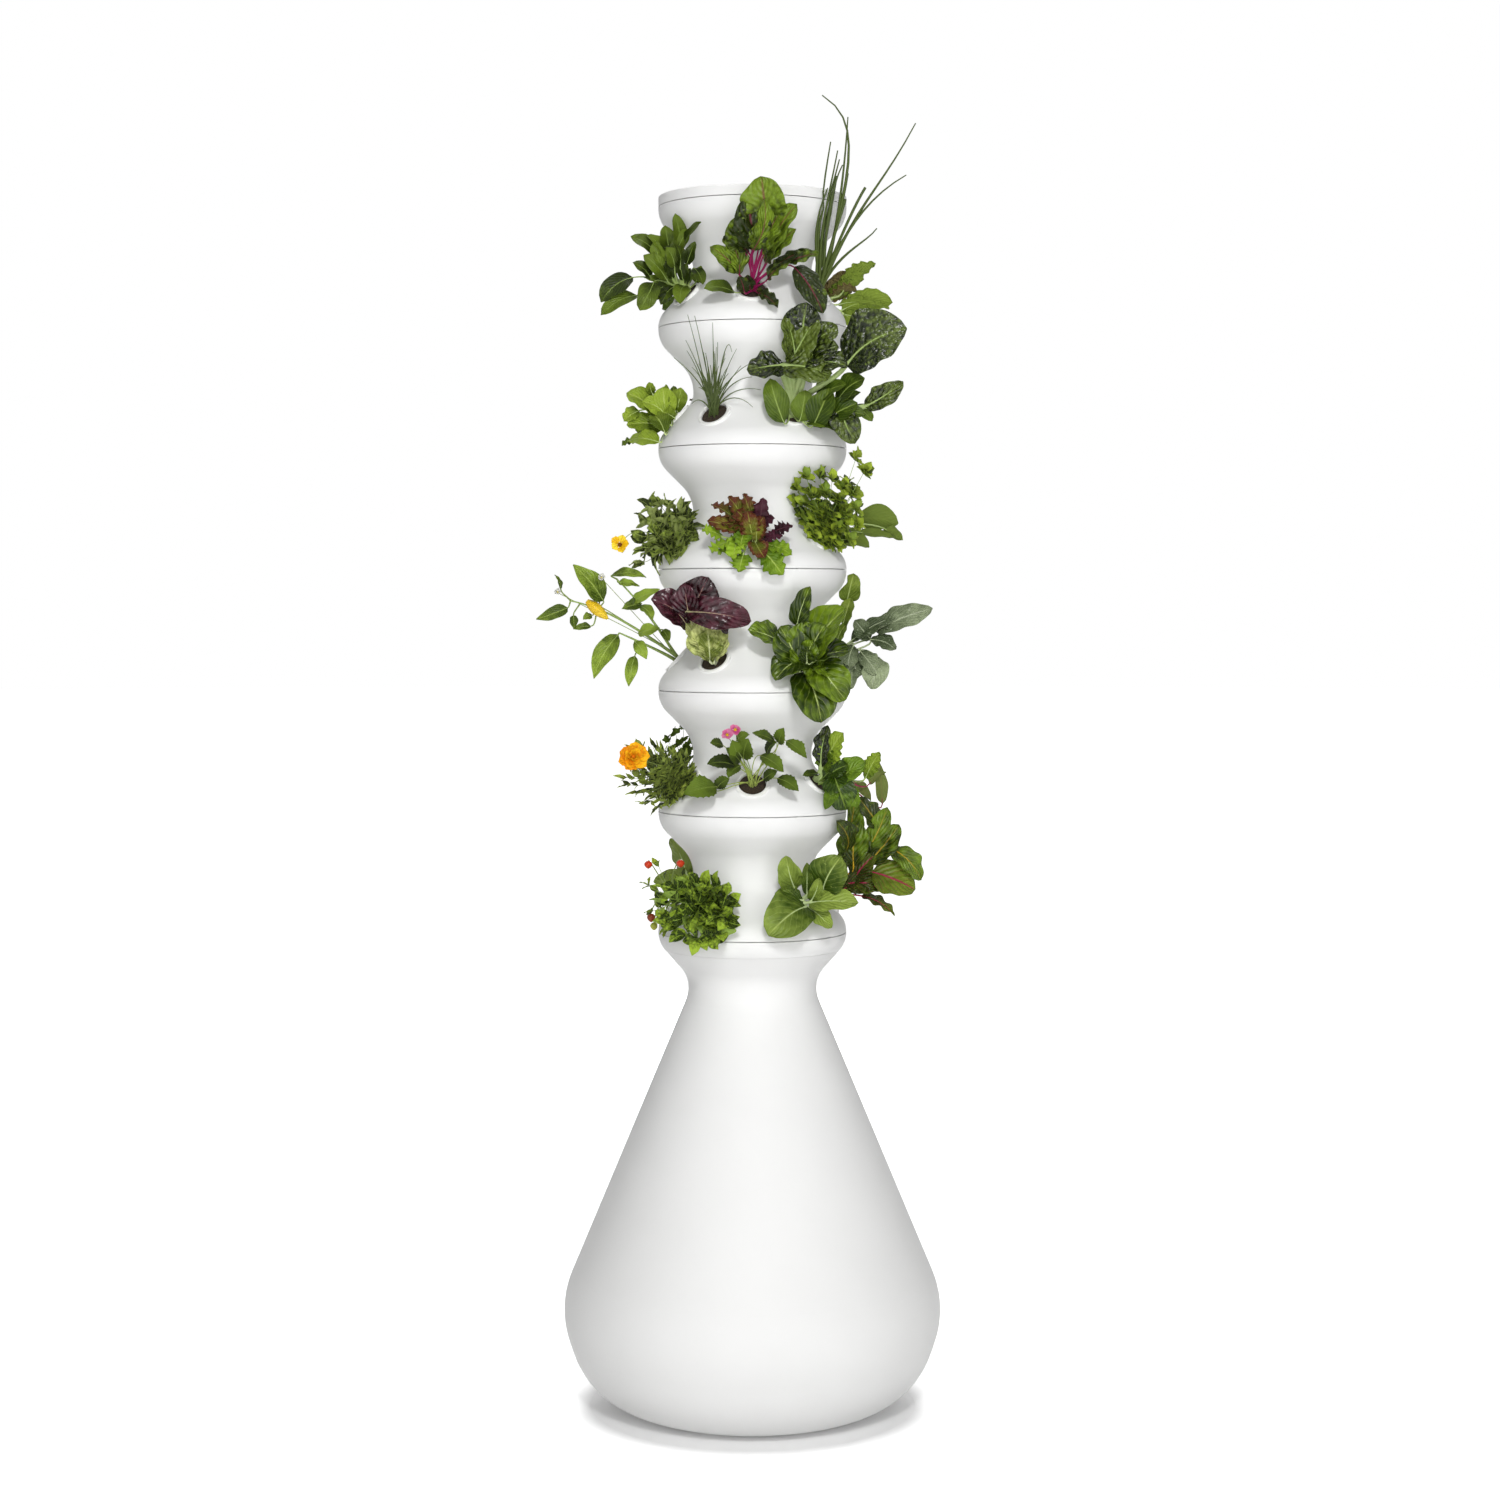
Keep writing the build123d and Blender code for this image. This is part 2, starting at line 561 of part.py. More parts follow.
def make_fill_cap():
    """The fill port's push-in cap: flange, hollow plug with a seal groove, and a grip bar."""
    plug_radius = FILL_BORE - FILL_CLEARANCE
    groove_top = -SEAL_GROOVE_SETBACK
    cap = turned(
        (0, 0),
        (plug_radius - FILL_PLUG_WALL, 0),
        (plug_radius - FILL_PLUG_WALL, -FILL_PLUG_LENGTH),
        (plug_radius, -FILL_PLUG_LENGTH),
        (plug_radius, groove_top - SEAL_GROOVE),
        (plug_radius - SEAL_GROOVE_DEPTH, groove_top - SEAL_GROOVE),
        (plug_radius - SEAL_GROOVE_DEPTH, groove_top),
        (plug_radius, groove_top),
        (plug_radius, 0),
        (FILL_CAP_RADIUS, 0),
        (FILL_CAP_RADIUS, FILL_CAP_THICK),
        (0, FILL_CAP_THICK),
    )
    grip = Box(FILL_GRIP_LENGTH, FILL_GRIP_WIDTH, FILL_CAP_THICK / 2 + FILL_GRIP_HEIGHT, align=UPRIGHT)
    grip = fillet(grip.edges().filter_by(Axis.Z) + grip.faces().sort_by(Axis.Z)[-1].edges(), FILL_GRIP_ROUND)
    return fill_plane() * (cap + Pos(0, 0, FILL_CAP_THICK / 2) * grip)


def make_fill_seal():
    """The rubber seal in the fill cap's groove."""
    plug_radius = FILL_BORE - FILL_CLEARANCE
    bottom = -SEAL_GROOVE_SETBACK - SEAL_GROOVE + SEAL_CLEARANCE
    top = -SEAL_GROOVE_SETBACK - SEAL_CLEARANCE
    inner = plug_radius - SEAL_GROOVE_DEPTH + SEAL_CLEARANCE
    return fill_plane() * tube(inner, plug_radius + SEAL_CLEARANCE, bottom, top)


def grommet_plane():
    """The cable hole's plane, square to the back of the neck, on its outer wall."""
    return slanted_plane(180, NECK_RADIUS, GROMMET_HEIGHT, 0)


def make_grommet():
    """The rubber cable grommet: two flanges that clip the neck's wall between them."""
    waist = GROMMET_HOLE - GROMMET_CLEARANCE
    outside = GROMMET_GRIP
    inside = -BASE_WALL - GROMMET_GRIP
    return grommet_plane() * turned(
        (GROMMET_BORE, inside - GROMMET_FLANGE_THICK),
        (GROMMET_FLANGE, inside - GROMMET_FLANGE_THICK),
        (GROMMET_FLANGE, inside),
        (waist, inside),
        (waist, outside),
        (GROMMET_FLANGE, outside),
        (GROMMET_FLANGE - GROMMET_FLANGE_THICK / 2, outside + GROMMET_FLANGE_THICK),
        (GROMMET_BORE, outside + GROMMET_FLANGE_THICK),
    )


def make_riser_section(bottom, top):
    """One riser length, with a spigot below that plugs into the length under it."""
    spigot = RISER_BORE - RISER_CLEARANCE
    return turned(
        (spigot - RISER_SPIGOT_WALL, bottom - RISER_SPIGOT),
        (spigot, bottom - RISER_SPIGOT),
        (spigot, bottom),
        (RISER_RADIUS, bottom),
        (RISER_RADIUS, top),
        (RISER_BORE, top),
        (RISER_BORE, bottom + RISER_WALL),
        (spigot - RISER_SPIGOT_WALL, bottom + RISER_WALL),
    )


def make_tray():
    """A drip tray on a ring's ledge: floor, lip, hub round the riser and a ring of drip holes."""
    radius = WAIST_RADIUS - RING_WALL - TRAY_CLEARANCE
    hub_bore = RISER_RADIUS + TRAY_HUB_CLEARANCE
    hub = hub_bore + TRAY_HUB_WALL
    floor = LEDGE_TOP + TRAY_FLOOR
    tray = turned(
        (hub_bore, LEDGE_TOP),
        (radius, LEDGE_TOP),
        (radius, floor + TRAY_LIP),
        (radius - TRAY_LIP_WALL, floor + TRAY_LIP),
        (radius - TRAY_LIP_WALL, floor),
        (hub, floor),
        (hub, floor + TRAY_HUB_HEIGHT),
        (hub_bore, floor + TRAY_HUB_HEIGHT),
    )
    hole = Pos(0, DRIP_HOLE_INSET - radius, 0) * rod(DRIP_HOLE, LEDGE_TOP - TRAY_FLOOR, floor + TRAY_FLOOR)
    return tray - around(hole, PORTS_PER_RING)


def make_drip_head():
    """The drip head on the riser's top: a shallow dish with a socket below and drip holes."""
    socket = RISER_RADIUS + RISER_CLEARANCE
    floor = RISER_TOP + HEAD_FLOOR
    head = turned(
        (RISER_BORE, RISER_TOP),
        (socket, RISER_TOP),
        (socket, RISER_TOP - HEAD_SOCKET_DEPTH),
        (socket + HEAD_SOCKET_WALL, RISER_TOP - HEAD_SOCKET_DEPTH),
        (socket + HEAD_SOCKET_WALL, RISER_TOP),
        (HEAD_RADIUS, RISER_TOP),
        (HEAD_RADIUS, floor + HEAD_LIP),
        (HEAD_RADIUS - HEAD_LIP_WALL, floor + HEAD_LIP),
        (HEAD_RADIUS - HEAD_LIP_WALL, floor),
        (RISER_BORE, floor),
    )
    drill = rod(DRIP_HOLE, RISER_TOP - HEAD_FLOOR, floor + HEAD_FLOOR)
    hole = Pos(0, HEAD_HOLE_INSET - HEAD_RADIUS, 0) * drill
    return head - around(hole, HEAD_HOLES)


def make_adapter():
    """The reducer between the pump's outlet and the riser's foot."""
    lower = OUTLET_RADIUS + ADAPTER_CLEARANCE
    upper = RISER_RADIUS + ADAPTER_CLEARANCE
    shoulder = PUMP_TOP + OUTLET_HEIGHT
    return turned(
        (lower, PUMP_TOP),
        (lower + ADAPTER_WALL, PUMP_TOP),
        (lower + ADAPTER_WALL, shoulder - ADAPTER_FLOOR),
        (upper + ADAPTER_WALL, RISER_FOOT),
        (upper + ADAPTER_WALL, RISER_FOOT + ADAPTER_SOCKET),
        (upper, RISER_FOOT + ADAPTER_SOCKET),
        (upper, RISER_FOOT),
        (OUTLET_BORE, RISER_FOOT),
        (OUTLET_BORE, shoulder),
        (lower, shoulder),
    )


def rotor_frame():
    """The rotor's axis: local Z runs from the pump's front to its back, from below the riser."""
    return Plane(origin=(0, 0, ROTOR_HEIGHT), x_dir=(1, 0, 0), z_dir=(0, 1, 0))


def pump_section(margin):
    """The pump's rounded cross-section, drawn in by a margin, on the rotor's axis."""
    size = RectangleRounded(PUMP_WIDTH - 2 * margin, PUMP_HEIGHT - 2 * margin, PUMP_ROUND - margin / 2)
    return rotor_frame() * size


def pump_feet_places():
    """The four places of the pump's feet under its bottom."""
    x = PUMP_WIDTH / 2 - PUMP_FOOT_INSET
    front = PUMP_FOOT_INSET - PUMP_FRONT
    back = PUMP_BACK - PUMP_FOOT_INSET
    return [Pos(sx * x, y, BASE_WALL) for sx in (-1, 1) for y in (front, back)]


def make_pump_housing():
    """The pump's body: rounded block with volute, rotor well, shaft seat and upright outlet."""
    block = extrude(pump_section(0), amount=PUMP_BACK)
    block += extrude(pump_section(0), amount=-PUMP_FRONT)
    block = fillet(block.faces().sort_by(Axis.Y)[-1].edges(), PUMP_TOP_ROUND)
    block += rod(OUTLET_RADIUS, PUMP_TOP - PUMP_ROUND, PUMP_TOP + OUTLET_HEIGHT)
    block -= rod(OUTLET_BORE, ROTOR_HEIGHT, PUMP_TOP + 2 * OUTLET_HEIGHT)
    chamber = rod(VOLUTE_RADIUS, -2 * PUMP_FRONT, VOLUTE_BACK) + rod(WELL_RADIUS, 0, WELL_BACK)
    block -= rotor_frame() * (chamber + rod(SHAFT_RADIUS, 0, WELL_BACK + SHAFT_SEAT))
    peg_top = PUMP_FOOT_HEIGHT + PUMP_FOOT_PEG_HEIGHT + PUMP_FOOT_CLEARANCE
    peg_hole = rod(PUMP_FOOT_PEG + PUMP_FOOT_CLEARANCE, 0, peg_top)
    return block - [place * peg_hole for place in pump_feet_places()]


def make_pump_feet():
    """Four rubber suction feet, each with a peg in the pump's bottom."""
    foot = turned(
        (0, PUMP_FOOT_HOLLOW),
        (PUMP_FOOT_RADIUS - PUMP_FOOT_EDGE, 0),
        (PUMP_FOOT_RADIUS, 0),
        (PUMP_FOOT_RADIUS, PUMP_FOOT_EDGE),
        (PUMP_FOOT_NECK, PUMP_FOOT_FLARE),
        (PUMP_FOOT_NECK, PUMP_FOOT_HEIGHT),
        (PUMP_FOOT_PEG, PUMP_FOOT_HEIGHT),
        (PUMP_FOOT_PEG, PUMP_FOOT_HEIGHT + PUMP_FOOT_PEG_HEIGHT),
        (0, PUMP_FOOT_HEIGHT + PUMP_FOOT_PEG_HEIGHT),
    )
    return [place * foot for place in pump_feet_places()]


def make_pump_cover():
    """The volute's front cover, with its inlet eye and a spoked seat for the shaft."""
    front = -PUMP_FRONT - COVER_THICK
    cover = Plane.XZ.offset(PUMP_FRONT) * Pos(0, ROTOR_HEIGHT, 0) * extrude(
        RectangleRounded(PUMP_WIDTH, PUMP_HEIGHT, PUMP_ROUND), amount=COVER_THICK
    )
    seat_radius = SHAFT_RADIUS + COVER_SEAT_WALL
    eye = rod(COVER_EYE, front - 1, -PUMP_FRONT + 1)
    spokes = [
        Pos(0, 0, front) * Box(2 * COVER_EYE + 1, COVER_SPOKE, COVER_THICK / 2, align=UPRIGHT),
        Pos(0, 0, front) * Box(COVER_SPOKE, 2 * COVER_EYE + 1, COVER_THICK / 2, align=UPRIGHT),
        rod(seat_radius, front, -PUMP_FRONT),
    ]
    cover -= rotor_frame() * eye
    cover += [rotor_frame() * spoke for spoke in spokes]
    return cover - rotor_frame() * rod(SHAFT_RADIUS, -PUMP_FRONT - SHAFT_SEAT, 0)


def make_strainer():
    """The inlet strainer: a box over the cover with a row of upright slots in its front."""
    depth = PUMP_FRONT + COVER_THICK
    section = RectangleRounded(PUMP_WIDTH, PUMP_HEIGHT, PUMP_ROUND)
    inside = RectangleRounded(
        PUMP_WIDTH - 2 * STRAINER_WALL, PUMP_HEIGHT - 2 * STRAINER_WALL, PUMP_ROUND - STRAINER_WALL
    )
    face = Plane.XZ.offset(depth) * Pos(0, ROTOR_HEIGHT, 0)
    box = face * extrude(section, amount=STRAINER_DEPTH)
    box -= face * extrude(inside, amount=STRAINER_DEPTH - STRAINER_WALL)
    step = (PUMP_WIDTH - 2 * PUMP_ROUND) / (STRAINER_BARS - 1)
    slot = Box(STRAINER_SLOT, 2 * STRAINER_DEPTH, PUMP_HEIGHT - 2 * PUMP_ROUND - STRAINER_MARGIN)
    middle = (STRAINER_BARS - 1) / 2
    front = -depth - 1.5 * STRAINER_DEPTH
    return box - [Pos((i - middle) * step, front, ROTOR_HEIGHT) * slot for i in range(STRAINER_BARS)]


def make_rotor():
    """The rotor: magnet drum in the well and a vaned impeller in the volute, on one bore."""
    drum = WELL_RADIUS - ROTOR_GAP
    wheel = VOLUTE_RADIUS - IMPELLER_GAP
    plate_back = VOLUTE_BACK - ROTOR_END_GAP
    front = plate_back - IMPELLER_PLATE - IMPELLER_DEPTH
    rotor = rod(drum, plate_back - IMPELLER_PLATE, WELL_BACK - ROTOR_END_GAP)
    rotor += [rod(wheel, plate_back - IMPELLER_PLATE, plate_back), rod(IMPELLER_HUB, front, plate_back)]
    vane = Pos(0, -wheel / 2, front) * Box(IMPELLER_VANE, wheel, IMPELLER_DEPTH + 1, align=UPRIGHT)
    rotor += around(vane, IMPELLER_VANES)
    return rotor_frame() * (rotor - rod(SHAFT_RADIUS + SHAFT_RUNNING_FIT, -PUMP_BACK, PUMP_BACK))


def make_shaft():
    """The fixed ceramic shaft between the cover and the back of the well."""
    return rotor_frame() * rod(SHAFT_RADIUS, -PUMP_FRONT - SHAFT_SEAT, WELL_BACK + SHAFT_SEAT)


def planted_cup(cup, plug, number, index):
    """A net cup, its plug and its plant, seated in one port of one ring."""
    place = ring_place(number) * port_plane(index).location
    plant = make_plant(*PLANTS[number - 1][index])
    return [place * piece for piece in (cup, plug, plant)]


def all_nodes():
    """Every sub-part of the tower by its node's name."""
    ring = make_ring()
    tray = make_tray()
    cup = make_net_cup()
    plug = make_plug()
    rings = range(1, RING_COUNT + 1)
    joints = [RISER_TOP - (RING_COUNT - i) * RING_PITCH for i in range(RING_COUNT + 1)]
    nodes = {
        "reservoir_base": make_base(),
        "base_collar": make_collar(),
        "glide_ring": make_glide_ring(),
        "lid": make_lid(),
        "drip_head": make_drip_head(),
        "drip_trays": [ring_place(number) * tray for number in rings],
        "riser_foot_pipe": tube(RISER_BORE, RISER_RADIUS, RISER_FOOT, joints[0]),
        "riser_sections": [make_riser_section(low, high) for low, high in zip(joints, joints[1:])],
        "pump_adapter": make_adapter(),
        "pump_housing": make_pump_housing(),
        "pump_cover": make_pump_cover(),
        "inlet_strainer": make_strainer(),
        "pump_rotor": make_rotor(),
        "pump_shaft": make_shaft(),
        "pump_feet": make_pump_feet(),
        "fill_cap": make_fill_cap(),
        "fill_cap_seal": make_fill_seal(),
        "cable_grommet": make_grommet(),
    }
    for number in rings:
        nodes[f"grow_ring_{number}"] = ring_place(number) * ring
        for index in range(PORTS_PER_RING):
            nodes[f"planted_cup_{number}{'abcdef'[index]}"] = planted_cup(cup, plug, number, index)
    return nodes


def export(nodes):
    """Write one STEP file per node."""
    os.makedirs("parts", exist_ok=True)
    for name, shape in nodes.items():
        whole = Compound(children=shape) if isinstance(shape, list) else shape
        export_step(whole, f"parts/{name}.step")


export(all_nodes())
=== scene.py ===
"""Looks of a planted hydroponic tower: moulded white parts, 36 planted net cups and a pale studio."""

import json
import logging
from dataclasses import dataclass, field, replace
from enum import Enum
from math import cos, degrees, pi, radians, sin

import bpy
import numpy as np
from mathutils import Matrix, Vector


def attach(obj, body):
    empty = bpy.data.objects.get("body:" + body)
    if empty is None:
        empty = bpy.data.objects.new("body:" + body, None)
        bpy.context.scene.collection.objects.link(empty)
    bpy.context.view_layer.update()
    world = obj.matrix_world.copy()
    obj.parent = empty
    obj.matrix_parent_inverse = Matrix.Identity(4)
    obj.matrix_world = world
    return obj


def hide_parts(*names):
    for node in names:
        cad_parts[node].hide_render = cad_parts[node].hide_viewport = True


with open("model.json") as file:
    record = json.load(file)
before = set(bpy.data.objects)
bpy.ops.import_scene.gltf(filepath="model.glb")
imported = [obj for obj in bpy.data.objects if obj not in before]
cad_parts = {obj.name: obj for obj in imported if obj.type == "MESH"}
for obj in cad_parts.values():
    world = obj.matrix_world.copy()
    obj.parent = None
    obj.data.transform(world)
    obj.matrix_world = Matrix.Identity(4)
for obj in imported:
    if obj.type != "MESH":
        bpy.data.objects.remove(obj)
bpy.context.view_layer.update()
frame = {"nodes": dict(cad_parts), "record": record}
Array = np.ndarray
MM = 0.001
UP = np.array([0.0, 0.0, 1.0])
LETTERS = "abcdef"
log = logging.getLogger("hydroponic_tower")


def linear(code: str) -> tuple[float, float, float, float]:
    """Turn an sRGB hex colour into the linear values that shaders take.

    Args:
        code: six hex digits, with or without a leading hash sign.

    Returns:
        Linear red, green, blue and an alpha of one.
    """
    parts = [int(code.lstrip("#")[i : i + 2], 16) / 255 for i in (0, 2, 4)]
    values = [p / 12.92 if p <= 0.04045 else ((p + 0.055) / 1.055) ** 2.4 for p in parts]
    return (values[0], values[1], values[2], 1.0)


def add_node(tree: bpy.types.NodeTree, kind: str, inputs: dict | None = None, **settings) -> bpy.types.Node:
    """Add one node with its settings, and set or link its inputs.

    Args:
        tree: the node tree that gets the node.
        kind: Blender's type name of the node, without the ShaderNode in front of it.
        inputs: values, output sockets or nodes, which give their first output, by input name or number.
        settings: attributes of the node.

    Returns:
        The new node.
    """
    node = tree.nodes.new("ShaderNode" + kind)
    for name, value in settings.items():
        setattr(node, name, value)
    for key, value in (inputs or {}).items():
        if isinstance(value, bpy.types.Node):
            value = value.outputs[0]
        if isinstance(value, bpy.types.NodeSocket):
            tree.links.new(value, node.inputs[key])
        else:
            node.inputs[key].default_value = value
    return node


def unit(vector: Array) -> Array:
    """Scale vectors along the last axis to length one."""
    return vector / np.maximum(np.linalg.norm(vector, axis=-1, keepdims=True), 1e-9)


@dataclass(frozen=True)
class Finish:
    """A surface finish that becomes one Blender material."""

    name: str
    colour: str
    roughness: float = 0.5

    def material(self) -> bpy.types.Material:
        """Make the material on first use, and give the same one after that.

        Returns:
            The finish's material.
        """
        made = bpy.data.materials.get(self.name)
        if made is None:
            made = bpy.data.materials.new(self.name)
            made.use_nodes = True
            tree = made.node_tree
            shader = next(n for n in tree.nodes if n.type == "BSDF_PRINCIPLED")
            shader.inputs["Roughness"].default_value = self.roughness
            shader.inputs["Base Color"].default_value = linear(self.colour)
            self.paint(tree, shader)
        return made

    def paint(self, tree: bpy.types.NodeTree, shader: bpy.types.Node) -> None:
        """Add the finish's own pattern; a plain finish has none."""


@dataclass(frozen=True)
class MouldedPlastic(Finish):
    """Moulded plastic, rubber or sintered body: even colour, a mould's faint grain, slow sheen changes."""

    shade: str = "#EDEDEC"
    # A mould's grain is about 0.2 mm wide, too fine to show in the render, so it is drawn coarser.
    grain_mm: float = 1.6
    grain_depth_mm: float = 0.015
    flow_mm: float = 120.0
    sheen: float = 0.3

    GLOSS_CHANGE, GRAIN_STRENGTH = 0.04, 0.35

    def paint(self, tree: bpy.types.NodeTree, shader: bpy.types.Node) -> None:
        """Mix two close tones in broad flow marks and raise a fine moulded grain.

        Args:
            tree: the material's nodes.
            shader: its main shader.
        """
        place = add_node(tree, "TexCoord").outputs["Object"]
        flow = add_node(tree, "TexNoise", {"Vector": place, "Scale": 1 / (self.flow_mm * MM), "Detail": 2.0})
        grain = add_node(tree, "TexNoise", {"Vector": place, "Scale": 1 / (self.grain_mm * MM), "Detail": 1.0})
        tone = add_node(
            tree, "Mix", {0: flow.outputs["Fac"], 6: linear(self.colour), 7: linear(self.shade)}, data_type="RGBA"
        )
        dull, shiny = self.roughness + self.GLOSS_CHANGE, self.roughness - self.GLOSS_CHANGE
        gloss = add_node(tree, "MapRange", {"Value": flow.outputs["Fac"], "To Min": shiny, "To Max": dull})
        bump = add_node(
            tree,
            "Bump",
            {"Strength": self.GRAIN_STRENGTH, "Distance": self.grain_depth_mm * MM, "Height": grain.outputs["Fac"]},
        )
        shader.inputs["Specular IOR Level"].default_value = self.sheen
        tree.links.new(tone.outputs[2], shader.inputs["Base Color"])
        tree.links.new(gloss.outputs["Result"], shader.inputs["Roughness"])
        tree.links.new(bump.outputs["Normal"], shader.inputs["Normal"])


@dataclass(frozen=True)
class CoirFibre(Finish):
    """Pressed coconut fibre: dark brown, matted threads and crumbs, dull."""

    thread: str = "#45351F"
    # Coir threads are about 0.3 mm thick, too fine to show in the render, so they are drawn coarser.
    thread_mm: float = 1.2

    CRUMB, MESH = 4, 2
    BEND, THREAD_EDGE, RELIEF = 0.004, 0.18, 0.8

    def paint(self, tree: bpy.types.NodeTree, shader: bpy.types.Node) -> None:
        """Draw bent pale threads over a dark crumb and raise them.

        Args:
            tree: the material's nodes.
            shader: its main shader.
        """
        place = add_node(tree, "TexCoord").outputs["Object"]
        crumb = add_node(
            tree, "TexNoise", {"Vector": place, "Scale": 1 / (self.CRUMB * self.thread_mm * MM), "Detail": 4.0}
        )
        bent = add_node(tree, "VectorMath", {0: crumb.outputs["Color"], 1: (self.BEND,) * 3}, operation="MULTIPLY")
        moved = add_node(tree, "VectorMath", {0: place, 1: bent.outputs[0]}, operation="ADD")
        threads = add_node(
            tree,
            "TexVoronoi",
            {"Vector": moved.outputs[0], "Scale": 1 / (self.MESH * self.thread_mm * MM)},
            feature="DISTANCE_TO_EDGE",
        )
        mask = add_node(
            tree,
            "MapRange",
            {"Value": threads.outputs["Distance"], "From Max": self.THREAD_EDGE, "To Min": 1.0, "To Max": 0.0},
        )
        tone = add_node(
            tree, "Mix", {0: mask.outputs["Result"], 6: linear(self.colour), 7: linear(self.thread)}, data_type="RGBA"
        )
        bump = add_node(
            tree, "Bump", {"Strength": self.RELIEF, "Distance": self.thread_mm * MM, "Height": mask.outputs["Result"]}
        )
        tree.links.new(tone.outputs[2], shader.inputs["Base Color"])
        tree.links.new(bump.outputs["Normal"], shader.inputs["Normal"])


@dataclass(frozen=True)
class LeafBlade(Finish):
    """A living leaf: waxy skin, paler veins in a midrib and slanted side veins, duller underside."""

    light: str = "#7E9A3C"
    vein: str = "#A9BC72"
    under: str = "#8A9A63"
    edge: str = ""
    edge_from: float = 0.7
    veins: float = 7.0
    slant: float = 0.55
    vein_strength: float = 0.6
    side: float = 0.5
    midrib: float = 0.09
    mottle_mm: float = 14.0
    relief_mm: float = 0.6
    # Blister size; the blisters are raised, and also get painted light in their middles and painted shade between them.
    quilt_mm: float = 0.0
    sheen: float = 0.14

    # Weights of painted light and shade on a blade: darker towards its stalk, lighter in its blisters' middles with
    # darker creases between them, and the whole level of a blistered one.
    TIP_LIGHT, BLISTER_LIGHT, BLISTER_LEVEL = 0.7, -1.1, 0.4
    TONE_FROM, TONE_TO = 0.95, 1.75
    EDGE_WAVE, EDGE_START, EDGE_END = 0.5, 0.1, 0.45
    RIB_CORE, VEIN_WANDER, VEIN_CORE, VEIN_END = 0.35, 0.16, 0.01, 0.07
    VEIN_SWELL, BLISTER_SWELL, RELIEF = 1.6, -2.0, 0.9
    UNDER_PALE, UNDER_DULL = 0.8, 0.25

    def paint(self, tree: bpy.types.NodeTree, shader: bpy.types.Node) -> None:
        """Paint mottled blade, veins, edge tint and underside from the blade's own length and width, with painted shade
        towards the stalk, on deep-set leaves and in blister creases, and painted light on blister middles.

        Args:
            tree: the material's nodes.
            shader: its main shader.
        """
        blade = add_node(tree, "Attribute", attribute_name="blade")
        parts = add_node(tree, "SeparateXYZ", {0: blade.outputs["Vector"]}).outputs
        under = add_node(tree, "Attribute", attribute_name="under").outputs["Fac"]
        place = add_node(tree, "TexCoord").outputs["Object"]
        across = add_node(tree, "Math", {0: parts["Y"]}, operation="ABSOLUTE")
        mottle = add_node(
            tree, "TexNoise", {"Vector": place, "Scale": 1 / (self.mottle_mm * MM), "Detail": 3.0}
        ).outputs["Fac"]
        # A blade's tone: random mottle and a random level per blade, lowered by painted shade on deep-set leaves.
        shaded = add_node(tree, "Math", {0: mottle, 1: parts["Z"]}, operation="ADD")
        # Painted shade: a blade grows darker towards its stalk, where the plant shades itself.
        lighter = add_node(tree, "Math", {0: parts["X"], 1: self.TIP_LIGHT, 2: shaded}, operation="MULTIPLY_ADD")
        # Painted light and shade: blister middles lighter, the creases between them darker.
        if self.quilt_mm:
            cells = add_node(
                tree,
                "TexVoronoi",
                {"Vector": place, "Scale": 1 / (self.quilt_mm * MM), "Smoothness": 0.5},
                feature="SMOOTH_F1",
            ).outputs["Distance"]
            lighter = add_node(tree, "Math", {0: cells, 1: self.BLISTER_LIGHT, 2: lighter}, operation="MULTIPLY_ADD")
            lighter = add_node(tree, "Math", {0: lighter, 1: self.BLISTER_LEVEL}, operation="ADD")
        mixed = add_node(tree, "MapRange", {"Value": lighter, "From Min": self.TONE_FROM, "From Max": self.TONE_TO})
        tone = add_node(
            tree, "Mix", {0: mixed, 6: linear(self.colour), 7: linear(self.light)}, data_type="RGBA"
        ).outputs[2]
        if self.edge:
            reach = add_node(tree, "Math", {0: across, 1: parts["X"]}, operation="MAXIMUM")
            wavy = add_node(tree, "Math", {0: mottle, 1: self.EDGE_WAVE, 2: reach}, operation="MULTIPLY_ADD")
            start, end = self.edge_from + self.EDGE_START, self.edge_from + self.EDGE_END
            rim = add_node(tree, "MapRange", {"Value": wavy, "From Min": start, "From Max": end})
            tone = add_node(tree, "Mix", {0: rim, 6: tone, 7: linear(self.edge)}, data_type="RGBA").outputs[2]
        core = self.midrib * self.RIB_CORE
        rib = add_node(
            tree, "MapRange", {"Value": across, "From Min": core, "From Max": self.midrib, "To Min": 1.0, "To Max": 0.0}
        )
        wandering = add_node(tree, "Math", {0: mottle, 1: self.VEIN_WANDER, 2: parts["X"]}, operation="MULTIPLY_ADD")
        slanted = add_node(tree, "Math", {0: across, 1: -self.slant, 2: wandering}, operation="MULTIPLY_ADD")
        phase = add_node(tree, "Math", {0: slanted, 1: self.veins}, operation="MULTIPLY")
        away = add_node(tree, "Math", {0: phase, 1: 0.5}, operation="PINGPONG")
        side = add_node(
            tree,
            "MapRange",
            {"Value": away, "From Min": self.VEIN_CORE, "From Max": self.VEIN_END, "To Min": self.side, "To Max": 0.0},
        )
        net = add_node(tree, "Math", {0: rib, 1: side}, operation="MAXIMUM")
        shown = add_node(tree, "Math", {0: net, 1: self.vein_strength}, operation="MULTIPLY")
        veined = add_node(tree, "Mix", {0: shown, 6: tone, 7: linear(self.vein)}, data_type="RGBA").outputs[2]
        below = add_node(tree, "Math", {0: under, 1: self.UNDER_PALE}, operation="MULTIPLY")
        both = add_node(tree, "Mix", {0: below, 6: veined, 7: linear(self.under)}, data_type="RGBA").outputs[2]
        swell = add_node(tree, "Math", {0: away, 1: self.VEIN_SWELL, 2: mottle}, operation="MULTIPLY_ADD")
        if self.quilt_mm:
            swell = add_node(tree, "Math", {0: cells, 1: self.BLISTER_SWELL, 2: swell}, operation="MULTIPLY_ADD")
